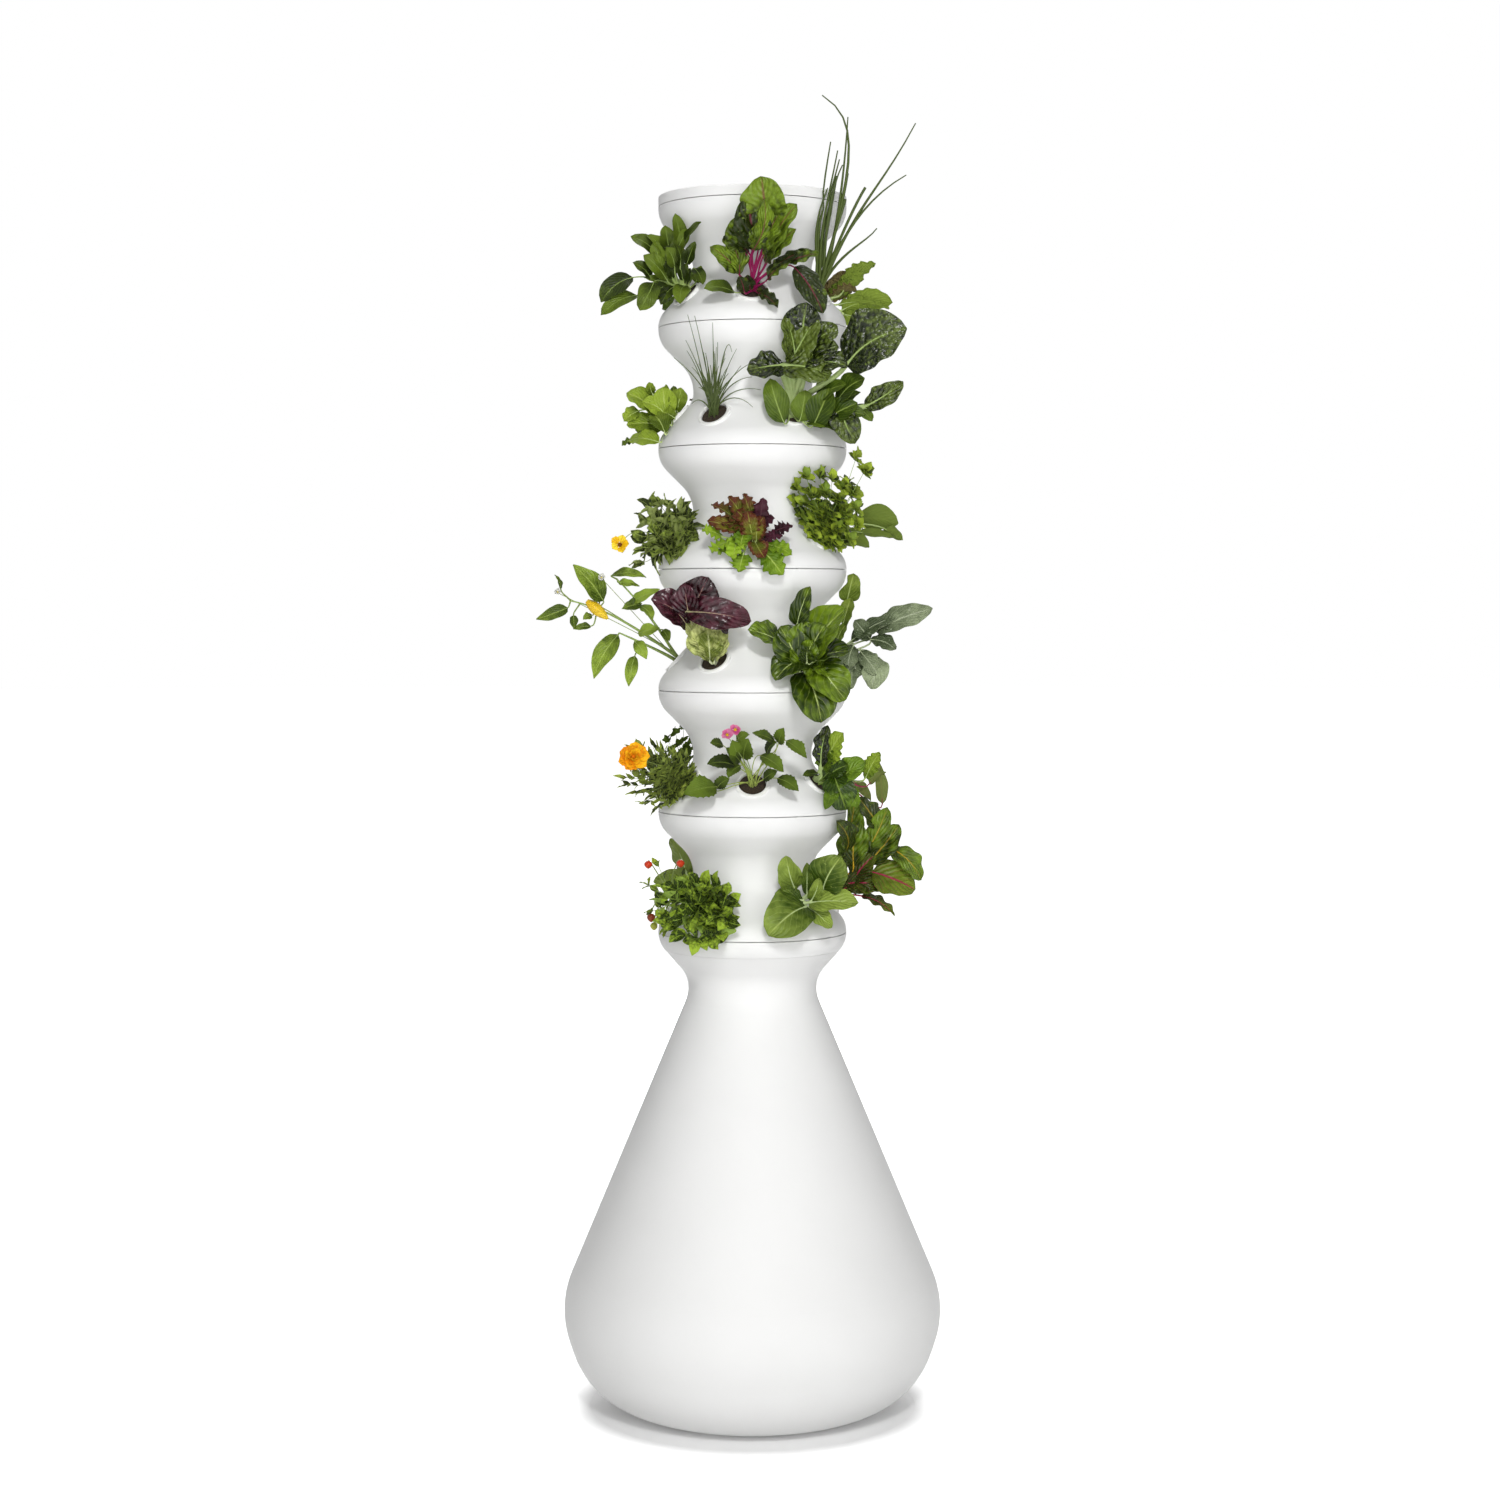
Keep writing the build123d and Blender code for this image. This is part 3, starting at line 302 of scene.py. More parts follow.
        bump = add_node(
            tree, "Bump", {"Strength": self.RELIEF, "Distance": self.relief_mm * MM, "Height": swell}
        ).outputs["Normal"]
        duller = min(1.0, self.roughness + self.UNDER_DULL)
        gloss = add_node(tree, "MapRange", {"Value": under, "To Min": self.roughness, "To Max": duller}).outputs[0]
        tree.links.new(both, shader.inputs["Base Color"])
        tree.links.new(bump, shader.inputs["Normal"])
        tree.links.new(gloss, shader.inputs["Roughness"])
        shader.inputs["Specular IOR Level"].default_value = self.sheen


@dataclass(frozen=True)
class Stalk(Finish):
    """A juicy stalk or stem: fine lengthwise fibres, one tone at its foot and another at its end."""

    far: str = "#8FA65A"
    # A stalk's fibres are about 0.3 mm wide, too fine to show in the render, so bundles of them are drawn.
    fibre_mm: float = 1.5

    BUNDLE, STREAK, FADE_FROM, FADE_TO = 3, 0.4, 0.15, 1.15
    RELIEF, RELIEF_MM, SHEEN = 0.4, 0.3, 0.2

    def paint(self, tree: bpy.types.NodeTree, shader: bpy.types.Node) -> None:
        """Blend the two tones along the stalk, with streaks.

        Args:
            tree: the material's nodes.
            shader: its main shader.
        """
        blade = add_node(tree, "Attribute", attribute_name="blade")
        parts = add_node(tree, "SeparateXYZ", {0: blade.outputs["Vector"]}).outputs
        place = add_node(tree, "TexCoord").outputs["Object"]
        streak = add_node(
            tree, "TexNoise", {"Vector": place, "Scale": 1 / (self.BUNDLE * self.fibre_mm * MM), "Detail": 2.0}
        ).outputs["Fac"]
        share = add_node(tree, "Math", {0: streak, 1: self.STREAK, 2: parts["X"]}, operation="MULTIPLY_ADD")
        faded = add_node(tree, "MapRange", {"Value": share, "From Min": self.FADE_FROM, "From Max": self.FADE_TO})
        tone = add_node(
            tree, "Mix", {0: faded, 6: linear(self.colour), 7: linear(self.far)}, data_type="RGBA"
        ).outputs[2]
        bump = add_node(
            tree, "Bump", {"Strength": self.RELIEF, "Distance": self.RELIEF_MM * MM, "Height": streak}
        ).outputs["Normal"]
        shader.inputs["Specular IOR Level"].default_value = self.SHEEN
        tree.links.new(tone, shader.inputs["Base Color"])
        tree.links.new(bump, shader.inputs["Normal"])


class Outline(Enum):
    """Plan shapes of a leaf blade, as half-widths along its length."""

    ROUND = "round"
    OVAL = "oval"
    POINTED = "pointed"
    SPOON = "spoon"

    def widths(self, along: Array) -> Array:
        """Half-widths, at most one.

        Args:
            along: places on the midrib, from 0 at the stalk to 1 at the tip.

        Returns:
            The half-width at each place.
        """
        a = np.clip(along, 0.0, 1.0)
        if self is Outline.ROUND:
            return np.sin(pi * a**0.9) ** 0.55
        if self is Outline.OVAL:
            return np.sin(pi * a**0.85) ** 0.8
        if self is Outline.POINTED:
            return np.minimum(1.0, 2.25 * a**0.6 * (1 - a) ** 0.95)
        return np.sin(pi * a**1.5) ** 0.8 * 0.94 + 0.06 * (1 - a)


@dataclass(frozen=True)
class LeafShape:
    """How a kind of leaf is cut, cupped and crimped; lengths in millimetres."""

    outline: Outline
    cup: float = 0.2
    frill: float = 1.5
    frills: float = 3.0
    pucker: float = 0.0
    puckers: float = 7.0
    groove: float = 0.8
    teeth: int = 0
    tooth: float = 0.0
    rows: int = 14
    columns: int = 9
    thick: float = 0.6
    sway: float = 0.07
    twist: float = 0.45
    ragged: float = 0.07
    tilt: float = 0.14

    def lift(self, along: Array, across: Array, half: Array, phase: float) -> Array:
        """Height of the blade's points over its midrib's plane, in metres.

        Args:
            along: places on the midrib, 0 to 1.
            across: places across, -1 to 1.
            half: half-widths in metres.
            phase: where the edge's waves start.

        Returns:
            One height for each point.
        """
        edge = np.abs(across)
        waves = np.sin(2 * pi * self.frills * along + phase + np.where(across < 0, 1.9, 0.0))
        drift = 0.3 * np.sin(3.7 * along + phase) - 0.45 * self.puckers * edge * half / (half.max() + 1e-6)
        uneven = 0.75 + 0.25 * np.sin(7 * along + 4 * across + phase)
        hills = np.abs(np.sin(pi * (self.puckers * along + drift))) * uneven
        rise = self.cup * half * edge**1.7
        rise = rise + self.frill * MM * edge**2.2 * waves * np.sin(pi * np.clip(along, 0.06, 0.96)) ** 0.3
        rise = rise + self.pucker * MM * (1 - edge**2) ** 0.6 * edge**0.5 * hills
        return rise - self.groove * MM * np.exp(-((across / 0.13) ** 2))


@dataclass(frozen=True)
class Species:
    """A kind of plant: its leaf cut and the finishes of its blades and stalks."""

    blade: LeafBlade
    stalk: Stalk
    shape: LeafShape
    stalk_mm: float = 1.6
    bend: float = 0.12


@dataclass(frozen=True)
class Leaf:
    """One leaf's place on its plant's drawing, in drawing units right of and above the port's middle."""

    base: tuple[float, float]
    tip: tuple[float, float]
    width: float
    out: float = 5.0
    lift: float = 4.0
    kind: Species | None = None
    bend: float | None = None
    roll: float = 0.0
    # How much darker the leaf is: older leaves are darker, and leaves set deep in the plant get painted shade.
    age: float = 0.0


class Stack:
    """The outside of the turning stack, so that leaves lie against it and not in it."""

    SEAT, PITCH, RINGS = 0.7631, 0.1953, 6
    # A ring's outline: drops below its top and radii in millimetres; the collar's: heights in metres, and radii.
    RING = ((0.0, 152.4), (21.0, 152.4), (59.8, 113.6), (79.6, 100.3), (103.0, 95.7), (104.2, 95.7))
    SHOULDER = ((116.7, 98.0), (127.4, 104.8), (178.6, 152.4), (195.3, 152.4))
    COLLAR = ((0.655, 104.2), (0.692, 104.2), (0.738, 152.4))
    # How wide and how far out a port's mouth is left alone, and where that fades, as shares of both.
    MOUTH, MOUTH_FADE = (21 * MM, 16 * MM), (0.8, 0.4)
    # Between which radii a port's rim lies, how softly they end, and the height that clears the net cup's flange.
    RIM, RIM_SOFT, RIM_TOP = (17 * MM, 34 * MM), 4 * MM, 3.4 * MM

    def __init__(self) -> None:
        """Chain the collar's and the rings' outlines from the floor up."""
        pairs = list(self.COLLAR)
        for ring in range(self.RINGS):
            top = self.SEAT + (ring + 1) * self.PITCH
            pairs += [(top - drop * MM, radius) for drop, radius in reversed(self.RING + self.SHOULDER)]
        self.heights = np.array([p[0] for p in pairs])
        self.radii = np.array([p[1] for p in pairs]) * MM

    def radius(self, height: Array | float) -> Array | float:
        """The stack's outside radius at a height, in metres."""
        return np.interp(height, self.heights, self.radii)

    def keep_out(self, points: Array, port: "Port", margin: float = 2.0 * MM) -> Array:
        """Move points that lie in the stack straight out of it, apart from what stands in the port's mouth.

        Args:
            points: places in metres.
            port: the port that the plant grows from.
            margin: how far points stay off the surface.

        Returns:
            The places, mended where needed.
        """
        radius = np.hypot(points[:, 0], points[:, 1])
        wanted = self.radius(points[:, 2]) + margin
        height, wide = port.measure(points, port.mouth)
        start, fade = self.MOUTH_FADE
        free = np.clip((np.maximum(wide / self.MOUTH[0], height / self.MOUTH[1]) - start) / fade, 0.0, 1.0)
        scale = 1 + free * (np.maximum(wanted / np.maximum(radius, 1e-6), 1.0) - 1)
        moved = points.copy()
        moved[:, :2] *= scale[:, None]
        return self.over_rim(moved, port)

    def over_rim(self, points: Array, port: "Port") -> Array:
        """Lift points that lie in the rim of the plant's own port over it.

        Args:
            points: places in metres.
            port: the port that the plant grows from.

        Returns:
            The places, mended where needed.
        """
        height, wide = port.measure(points, port.seat)
        inner, outer = self.RIM
        share = np.clip((wide - inner) / self.RIM_SOFT, 0.0, 1.0) * np.clip((outer - wide) / self.RIM_SOFT, 0.0, 1.0)
        return points + (share * np.maximum(self.RIM_TOP - height, 0.0))[:, None] * port.axis


STACK = Stack()


@dataclass(frozen=True)
class Port:
    """One slanted port of a ring; ring 1 is the top one, and letters run from the front to the right."""

    ring: int
    index: int

    RADIUS = 120.7 * MM
    DROP = 144.5 * MM
    RISE = radians(42.9)
    PROUD = 0.6 * MM
    PLUG_TOP = -1.1 * MM

    @property
    def name(self) -> str:
        """The port's short name, such as 1a."""
        return f"{self.ring}{LETTERS[self.index]}"

    @property
    def azimuth(self) -> float:
        """The port's direction in radians, from the front towards the right."""
        return radians(60 * self.index + (0 if self.ring % 2 else 30))

    @property
    def out(self) -> Array:
        """The level direction out of the tower."""
        return np.array([sin(self.azimuth), -cos(self.azimuth), 0.0])

    @property
    def axis(self) -> Array:
        """The direction in which the net cup pulls out."""
        return self.out * cos(self.RISE) + UP * sin(self.RISE)

    @property
    def seat(self) -> Array:
        """The middle of the port's seat plane."""
        top = STACK.SEAT + (STACK.RINGS + 1 - self.ring) * STACK.PITCH
        return self.out * self.RADIUS + UP * (top - self.DROP) + self.axis * self.PROUD

    @property
    def mouth(self) -> Array:
        """The middle of the coir plug's top."""
        return self.seat + self.axis * self.PLUG_TOP

    def measure(self, points: Array, origin: Array) -> tuple[Array, Array]:
        """Measure how points lie about the port's axis.

        Args:
            points: places in metres.
            origin: the place on the axis that heights count from.

        Returns:
            Each point's height along the axis and its distance from it.
        """
        offset = points - origin
        height = offset @ self.axis
        return height, np.linalg.norm(offset - height[:, None] * self.axis, axis=1)


def curve(points: Array, count: int) -> Array:
    """A smooth Bezier line through the space of its control points.

    Args:
        points: control points, first and last on the line.
        count: how many places to give.

    Returns:
        Evenly stepped places on the line.
    """
    t = np.linspace(0, 1, count)[:, None]
    level = [np.repeat(np.asarray(p, float)[None], count, 0) for p in points]
    while len(level) > 1:
        level = [a * (1 - t) + b * t for a, b in zip(level, level[1:])]
    return level[0]


class Foliage:
    """A mesh in the making at one port: a plant's blades, stalks, petals and fruit, or a net cup."""

    SHARP, LOBE_STEP = radians(62), radians(54)

    def __init__(self, port: Port) -> None:
        """Start an empty mesh with the port's own seed.

        Args:
            port: the port that the plant grows from.
        """
        self.port = port
        self.random = np.random.default_rng(100 * port.ring + port.index)
        self.finishes: list[Finish] = []
        self.points: list[Array] = []
        self.faces: list[list[int]] = []
        self.slots: list[int] = []
        self.blades: list[Array] = []
        self.unders: list[Array] = []
        self.size = 0

    def add(
        self, points: Array, faces: list[list[int]], finish: Finish, blade: Array, under: Array
    ) -> None:
        """Put one closed piece into the mesh.

        Args:
            points: its places, in metres.
            faces: its faces by the points' numbers.
            finish: the finish of all its faces.
            blade: place along, place across and shade of each point.
            under: 1 for points on a leaf's underside, else 0.
        """
        if finish not in self.finishes:
            self.finishes.append(finish)
        self.points.append(points)
        self.faces += [[i + self.size for i in face] for face in faces]
        self.slots += [self.finishes.index(finish)] * len(faces)
        self.blades.append(blade)
        self.unders.append(under)
        self.size += len(points)

    def blade(
        self, base: Array, tip: Array, width: float, shape: LeafShape, finish: Finish, face: Array,
        bend: float = 0.12, roll: float = 0.0, age: float = 0.0,
    ) -> tuple[Array, Array]:
        """Grow one leaf blade or petal as a thin closed sheet.

        Args:
            base: where the blade leaves its stalk.
            tip: where it ends.
            width: its greatest width.
            shape: its cut.
            finish: its material.
            face: roughly where its upper side looks.
            bend: rise of its middle over the line from base to tip, as a share of its length.
            roll: turn about that line, in radians.
            age: how much darker it is, 0 to 1: older leaves are darker, and leaves set deep in the plant get painted
                shade.

        Returns:
            Its middle line, and the direction of its underside.
        """
        rows, columns = shape.rows, shape.columns
        chord = tip - base
        length = np.linalg.norm(chord)
        along = chord / max(length, 1e-6)
        face = face + self.random.normal(0, shape.tilt, 3)
        level = unit(face - along * (face @ along))
        cross = np.cross(along, level)
        normal = level * cos(roll) + cross * sin(roll)
        side = np.cross(along, normal)
        u = np.linspace(0, 1, rows)
        v = np.sin(np.linspace(-pi / 2, pi / 2, columns))
        sway, twist, start = self.random.uniform(-1, 1, 3)
        arch = (4 * length * u * (1 - u))[:, None]
        middle = base + u[:, None] * chord + arch * (bend * normal + shape.sway * sway * side)
        ahead = unit(np.gradient(middle, axis=0))
        turn = (shape.twist * twist * (u - 0.3))[:, None]
        flank = np.cos(turn) * side + np.sin(turn) * normal
        flank = unit(flank - ahead * np.sum(flank * ahead, axis=1, keepdims=True))
        upward = np.cross(flank, ahead)
        half = width / 2 * np.maximum(shape.outline.widths(u), 0.035)
        if shape.teeth:
            half = half * (1 - shape.tooth * (0.5 - 0.5 * np.cos(2 * pi * shape.teeth * u)))
        grid_u, grid_v = np.meshgrid(u, v, indexing="ij")
        uneven = 1 + shape.ragged * np.sin(9 * grid_u + 6 * start + np.where(grid_v < 0, 2.4, 0.0))
        reach = half[:, None] * uneven
        lift = shape.lift(grid_u, grid_v, reach, self.random.uniform(0, 6.28))
        top = middle[:, None] + (reach * grid_v)[..., None] * flank[:, None] + lift[..., None] * upward[:, None]
        across = np.gradient(top, axis=1)
        skin = unit(np.cross(across, np.gradient(top, axis=0)))
        low = top - skin * shape.thick * MM
        number = np.arange(rows * columns).reshape(rows, columns)
        a, b, c, d = number[:-1, :-1], number[:-1, 1:], number[1:, 1:], number[1:, :-1]
        upper = np.stack([a, b, c, d], -1).reshape(-1, 4)
        count = rows * columns
        loop = np.concatenate([number[0, :-1], number[:-1, -1], number[-1, :0:-1], number[:0:-1, 0]])
        after = np.roll(loop, -1)
        rim = np.stack([after, loop, loop + count, after + count], -1)
        faces = np.concatenate([upper, upper[:, ::-1] + count, rim]).tolist()
        # Each blade's random tone level, lowered for its age and by painted shade on leaves set deep in the plant.
        shade = np.full(count, self.random.uniform(0.0, 1.0) - age)
        place = np.stack([grid_u.ravel(), grid_v.ravel(), shade], -1)
        self.add(
            np.concatenate([top.reshape(-1, 3), low.reshape(-1, 3)]),
            faces,
            finish,
            np.concatenate([place, place]),
            np.repeat([0.0, 1.0], count),
        )
        return middle, -normal

    def tube(
        self, path: Array, radii: Array | list[float], finish: Finish, sides: int = 7, ribs: int = 0,
        rib: float = 0.0,
    ) -> None:
        """Grow one stalk, round blade or fruit as a closed tube.

        Args:
            path: its middle line.
            radii: radii spread evenly along it.
            finish: its material.
            sides: points round it.
            ribs: lobes round it, as a pepper has.
            rib: depth of the valleys between them, as a share of the radius.
        """
        count = len(path)
        radius = np.interp(np.linspace(0, 1, count), np.linspace(0, 1, len(radii)), radii)
        ahead = unit(np.gradient(path, axis=0))
        first = np.cross(ahead[0], [0.31, 0.17, 0.93])
        turn = 2 * pi * np.arange(sides) / sides
        lobes = 1 - rib * (0.5 - 0.5 * np.cos(ribs * turn))
        rings = []
        for place, direction, size in zip(path, ahead, radius):
            first = unit(first - direction * (first @ direction))
            second = np.cross(direction, first)
            circle = np.cos(turn)[:, None] * first + np.sin(turn)[:, None] * second
            rings.append(place + size * lobes[:, None] * circle)
        number = np.arange(count * sides).reshape(count, sides)
        nextto = np.roll(number, -1, 1)
        around = np.stack([number[:-1], nextto[:-1], nextto[1:], number[1:]], -1).reshape(-1, 4).tolist()
        faces = around + [number[0, ::-1].tolist(), number[-1].tolist()]
        share = np.repeat(np.linspace(0, 1, count), sides)
        across = np.tile(np.linspace(-1, 1, sides), count)
        shade = np.full(len(share), self.random.uniform())
        self.add(
            np.concatenate(rings), faces, finish, np.stack([share, across, shade], -1), np.zeros(len(share))
        )

    def in_mouth(self, radius: float) -> Array:
        """A random step across the port's mouth, at most as long as a radius."""
        step = unit(self.random.normal(size=3)) * radius * self.random.uniform() ** 0.5
        return step - self.port.axis * (step @ self.port.axis)

    def foot(self, spread: float, depth: float) -> Array:
        """A random place in the plug, within a radius of its middle and at a depth under its top."""
        return self.port.mouth + self.in_mouth(spread) - self.port.axis * depth

    def stem(self, tip: Array, ahead: Array | None = None, foot: Array | None = None) -> Array:
        """A bent line from the plug, or from another place, to a place.

        Args:
            tip: where it ends.
            ahead: the direction in which it arrives; the port's own lean where left out.
            foot: where it begins; in the plug where left out.

        Returns:
            Places on the line.
        """
        away = self.port.axis if foot is None else unit(tip - foot)
        if foot is None:
            foot = self.foot(7 * MM, 5 * MM)
        far = np.linalg.norm(tip - foot)
        arrive = unit(tip - foot + 0.3 * far * UP) if ahead is None else ahead
        return curve([foot, foot + away * 0.4 * far, tip - arrive * 0.3 * far, tip], 10)

    def leaf(
        self, base: Array, tip: Array, width: float, kind: Species, face: Array, bend: float,
        roll: float, foot: Array | None = None, age: float = 0.0,
    ) -> None:
        """Grow a blade with its stalk, which runs on under the blade as its midrib.

        Args:
            base: where the blade begins.
            tip: where it ends.
            width: its greatest width.
            kind: its species.
            face: roughly where its upper side looks.
            bend: rise of its middle, as a share of its length.
            roll: turn about its length, in radians.
            foot: where the stalk begins; out of the plug where it is left out.
            age: how much darker it is, 0 to 1: older leaves are darker, and leaves set deep in the plant get painted
                shade.
        """
        middle, under = self.blade(base, tip, width, kind.shape, kind.blade, face, bend, roll, age)
        stalk = self.stem(base, unit(middle[1] - middle[0]), foot)
        rib = middle[1 : 2 + 2 * len(middle) // 3] + under * kind.shape.thick * MM * 1.5
        path = np.concatenate([stalk, rib])
        size = kind.stalk_mm * MM
        share = len(stalk) / len(path)
        steps = [0.0, share, share + 0.1 * (1 - share), 1.0]
        radii = size * np.interp(np.linspace(0, 1, len(path)), steps, [1.25, 0.8, 0.4, 0.1])
        self.tube(path, radii.tolist(), kind.stalk, 7)

    def sprig(self, path: Array, bush: "HerbBush") -> None:
        """Grow one sprig: its stem, leaves in pairs and an end leaf.

        Args:
            path: the stem's line.
            bush: the bush's leaf sizes and habit.
        """
        kind = bush.kind
        self.tube(path, [kind.stalk_mm * MM, kind.stalk_mm * 0.45 * MM], kind.stalk, 6)
        outward = unit(self.port.out + 0.8 * UP)
        angle = radians(bush.spread)
        ahead = unit(np.gradient(path, axis=0))
        for pair in range(bush.pairs):
            share = bush.start + (0.97 - bush.start) * pair / max(bush.pairs - 1, 1)
            index = min(int(share * (len(path) - 1)), len(path) - 2)
            place = path[index] + (path[index + 1] - path[index]) * (share * (len(path) - 1) - index)
            along = ahead[index]
            side = unit(np.cross(along, outward))
            if not bush.flat and pair % 2:
                side = unit(np.cross(along, side))
            for sign in (-1, 1):
                way = along * cos(angle) + side * sign * sin(angle) + self.random.normal(0, 0.16, 3)
                size = (1.1 - bush.taper * share) * self.random.uniform(0.82, 1.15)
                # Lower pairs are older and sit deeper in the bush: darker for their age and with painted shade.
                self.lobes(place, unit(way), size, bush, unit(outward + 0.5 * along), 0.7 * (1 - share))
        self.lobes(path[-1], unit(ahead[-1] + self.random.normal(0, 0.2, 3)), 0.9, bush, outward)

    def lobes(
        self, place: Array, way: Array, size: float, bush: "HerbBush", face: Array, age: float = 0.0
    ) -> None:
        """Grow one leaf of a sprig, as one blade or as lobes fanned about its middle.

        Args:
            place: where the leaf begins.
            way: the direction it points in.
            size: its size as a share of the bush's.
            bush: the bush's leaf sizes and habit.
            face: roughly where its upper side looks.
            age: how much darker it is, 0 to 1: older leaves are darker, and leaves set deep in the plant get painted
                shade.
        """
        across = unit(np.cross(face, way))
        for lobe in range(bush.lobes):
            turn = self.LOBE_STEP * (lobe - (bush.lobes - 1) / 2)
            tip = place + (way * cos(turn) + across * sin(turn)) * bush.leaf_mm * MM * size
            self.blade(
                place, tip, bush.width_mm * MM * size, bush.kind.shape, bush.kind.blade, face, bush.kind.bend, age=age
            )

    def build(self, name: str, outside: bool = True) -> bpy.types.Object:
        """Make the object with its finishes and painting attributes.

        Args:
            name: the object's name.
            outside: whether it is kept clear of the stack, as all but a net cup is.

        Returns:
            The linked object.
        """
        mesh = bpy.data.meshes.new(name)
        places = np.concatenate(self.points)
        if outside:
            places = STACK.keep_out(places, self.port)
        mesh.from_pydata(places.tolist(), [], self.faces)
        blade = mesh.attributes.new("blade", "FLOAT_VECTOR", "POINT")
        blade.data.foreach_set("vector", np.concatenate(self.blades).astype(np.float32).ravel())
        under = mesh.attributes.new("under", "FLOAT", "POINT")
        under.data.foreach_set("value", np.concatenate(self.unders).astype(np.float32))
        for finish in self.finishes:
            mesh.materials.append(finish.material())
        mesh.polygons.foreach_set("material_index", self.slots)
        mesh.polygons.foreach_set("use_smooth", [True] * len(mesh.polygons))
        mesh.set_sharp_from_angle(angle=self.SHARP)
        piece = bpy.data.objects.new(name, mesh)
        bpy.context.scene.collection.objects.link(piece)
        return piece


class Drawing:
    """A plant's drawing board: places right of, above and in front of its port, as seen from one side."""

    # One drawing unit is a pixel of the photograph, at the tower's own distance.
    UNIT = 1.57 * MM
    LEAN, FAR_SIDE, GAP = 0.35, -0.2, 3 * MM

    def __init__(self, port: Port, facing: float) -> None:
        """Set the board up before a port.

        Args:
            port: the port that the plant grows from.
            facing: the side that the board is seen from, in radians from the front towards the right.
        """
        self.port = port
        self.right = np.array([cos(facing), sin(facing), 0.0])
        self.up = UP
        self.front = np.array([sin(facing), -cos(facing), 0.0])
        self.lean = cos(port.azimuth - facing)
        self.near = 1.0 if self.lean > self.FAR_SIDE else -1.0

    def spot(self, right: float, up: float, out: float = 5.0) -> Array:
        """A place before the stack's outside, in metres.

        Args:
            right: drawing units to the right of the port's middle.
            up: drawing units above it.
            out: drawing units off the tower, or off the plant's own lean where that is further out.

        Returns:
            The place in the row frame.
        """
        x = self.port.seat @ self.right + right * self.UNIT
        z = self.port.seat[2] + up * self.UNIT
        radius = STACK.radius(z) + self.GAP
        skin = max(radius**2 - x**2, 0.0) ** 0.5
        own = self.port.seat @ self.front + self.lean * self.LEAN * np.hypot(right, up) * self.UNIT
        depth = self.near * (max(skin if abs(x) < radius else -1.0, self.near * own) + out * self.UNIT)
        return self.right * x + self.up * z + self.front * depth

    @property
    def face(self) -> Array:
        """Where leaves look: to the light, up and out of the tower."""
        return unit(self.front * 0.8 * self.near + self.up * 0.6)


class Plant:
    """What grows in one port; each kind of plant fills a mesh on a drawing board."""

    def grow(self, foliage: Foliage, board: Drawing) -> None:
        """Fill the mesh.

        Args:
            foliage: the mesh in the making.
            board: places before the plant's port.
        """
        raise NotImplementedError


@dataclass(frozen=True)
class LeafyPlant(Plant):
    """Leaves on their own stalks out of the plug, each drawn in its place."""

    kind: Species
    leaves: tuple[Leaf, ...]
    fill: int = 0
    stems: tuple[tuple[tuple[float, float], ...], ...] = ()

    def between(self, foliage: Foliage) -> tuple[Leaf, ...]:
        """Place smaller leaves at random between the drawn ones, nearer the plug and the tower, and darken them with
        painted shade.

        Args:
            foliage: the mesh in the making, for its random numbers.

        Returns:
            The extra leaves.
        """
        extra = []
        for _ in range(self.fill):
            leaf = self.leaves[foliage.random.integers(len(self.leaves))]
            size = foliage.random.uniform(0.55, 0.85)
            right, up = foliage.random.normal(0, 5, 2)
            base = (leaf.base[0] * size * 0.7 + right * 0.5, leaf.base[1] * size * 0.7 + up * 0.5)
            tip = (leaf.tip[0] * size + right, leaf.tip[1] * size + up)
            # Leaves in between sit deeper in the plant, so they get painted shade.
            extra.append(replace(leaf, base=base, tip=tip, width=leaf.width * size, out=leaf.out * 0.6, age=0.4))
        return tuple(extra)

    def branches(self, foliage: Foliage, board: Drawing) -> Array | None:
        """Grow the main stems, if there are any.

        Args:
            foliage: the mesh in the making.
            board: places before the plant's port.

        Returns:
            Places along the stems, where there are stems.
        """
        lines = []
        for bends in self.stems:
            foot = foliage.foot(5 * MM, 4 * MM)
            path = curve([foot, foot + board.port.axis * 14 * MM] + [board.spot(*bend, 9.0) for bend in bends], 20)
            foliage.tube(path, [2.8 * self.kind.stalk_mm * MM, self.kind.stalk_mm * MM], self.kind.stalk, 7)
            lines.append(path[5:])
        return np.concatenate(lines) if lines else None

    def grow(self, foliage: Foliage, board: Drawing) -> None:
        """Grow the main stems, then every leaf with its stalk and its midrib.

        Args:
            foliage: the mesh in the making.
            board: places before the plant's port.
        """
        woody = self.branches(foliage, board)
        for leaf in self.leaves + self.between(foliage):
            kind = leaf.kind or self.kind
            base = board.spot(*leaf.base, leaf.out)
            foliage.leaf(
                base,
                board.spot(*leaf.tip, leaf.out + leaf.lift),
                leaf.width * board.UNIT,
                kind,
                board.face,
                kind.bend if leaf.bend is None else leaf.bend,
                leaf.roll,
                None if woody is None else woody[np.argmin(np.linalg.norm(woody - base, axis=1))],
                leaf.age,
            )


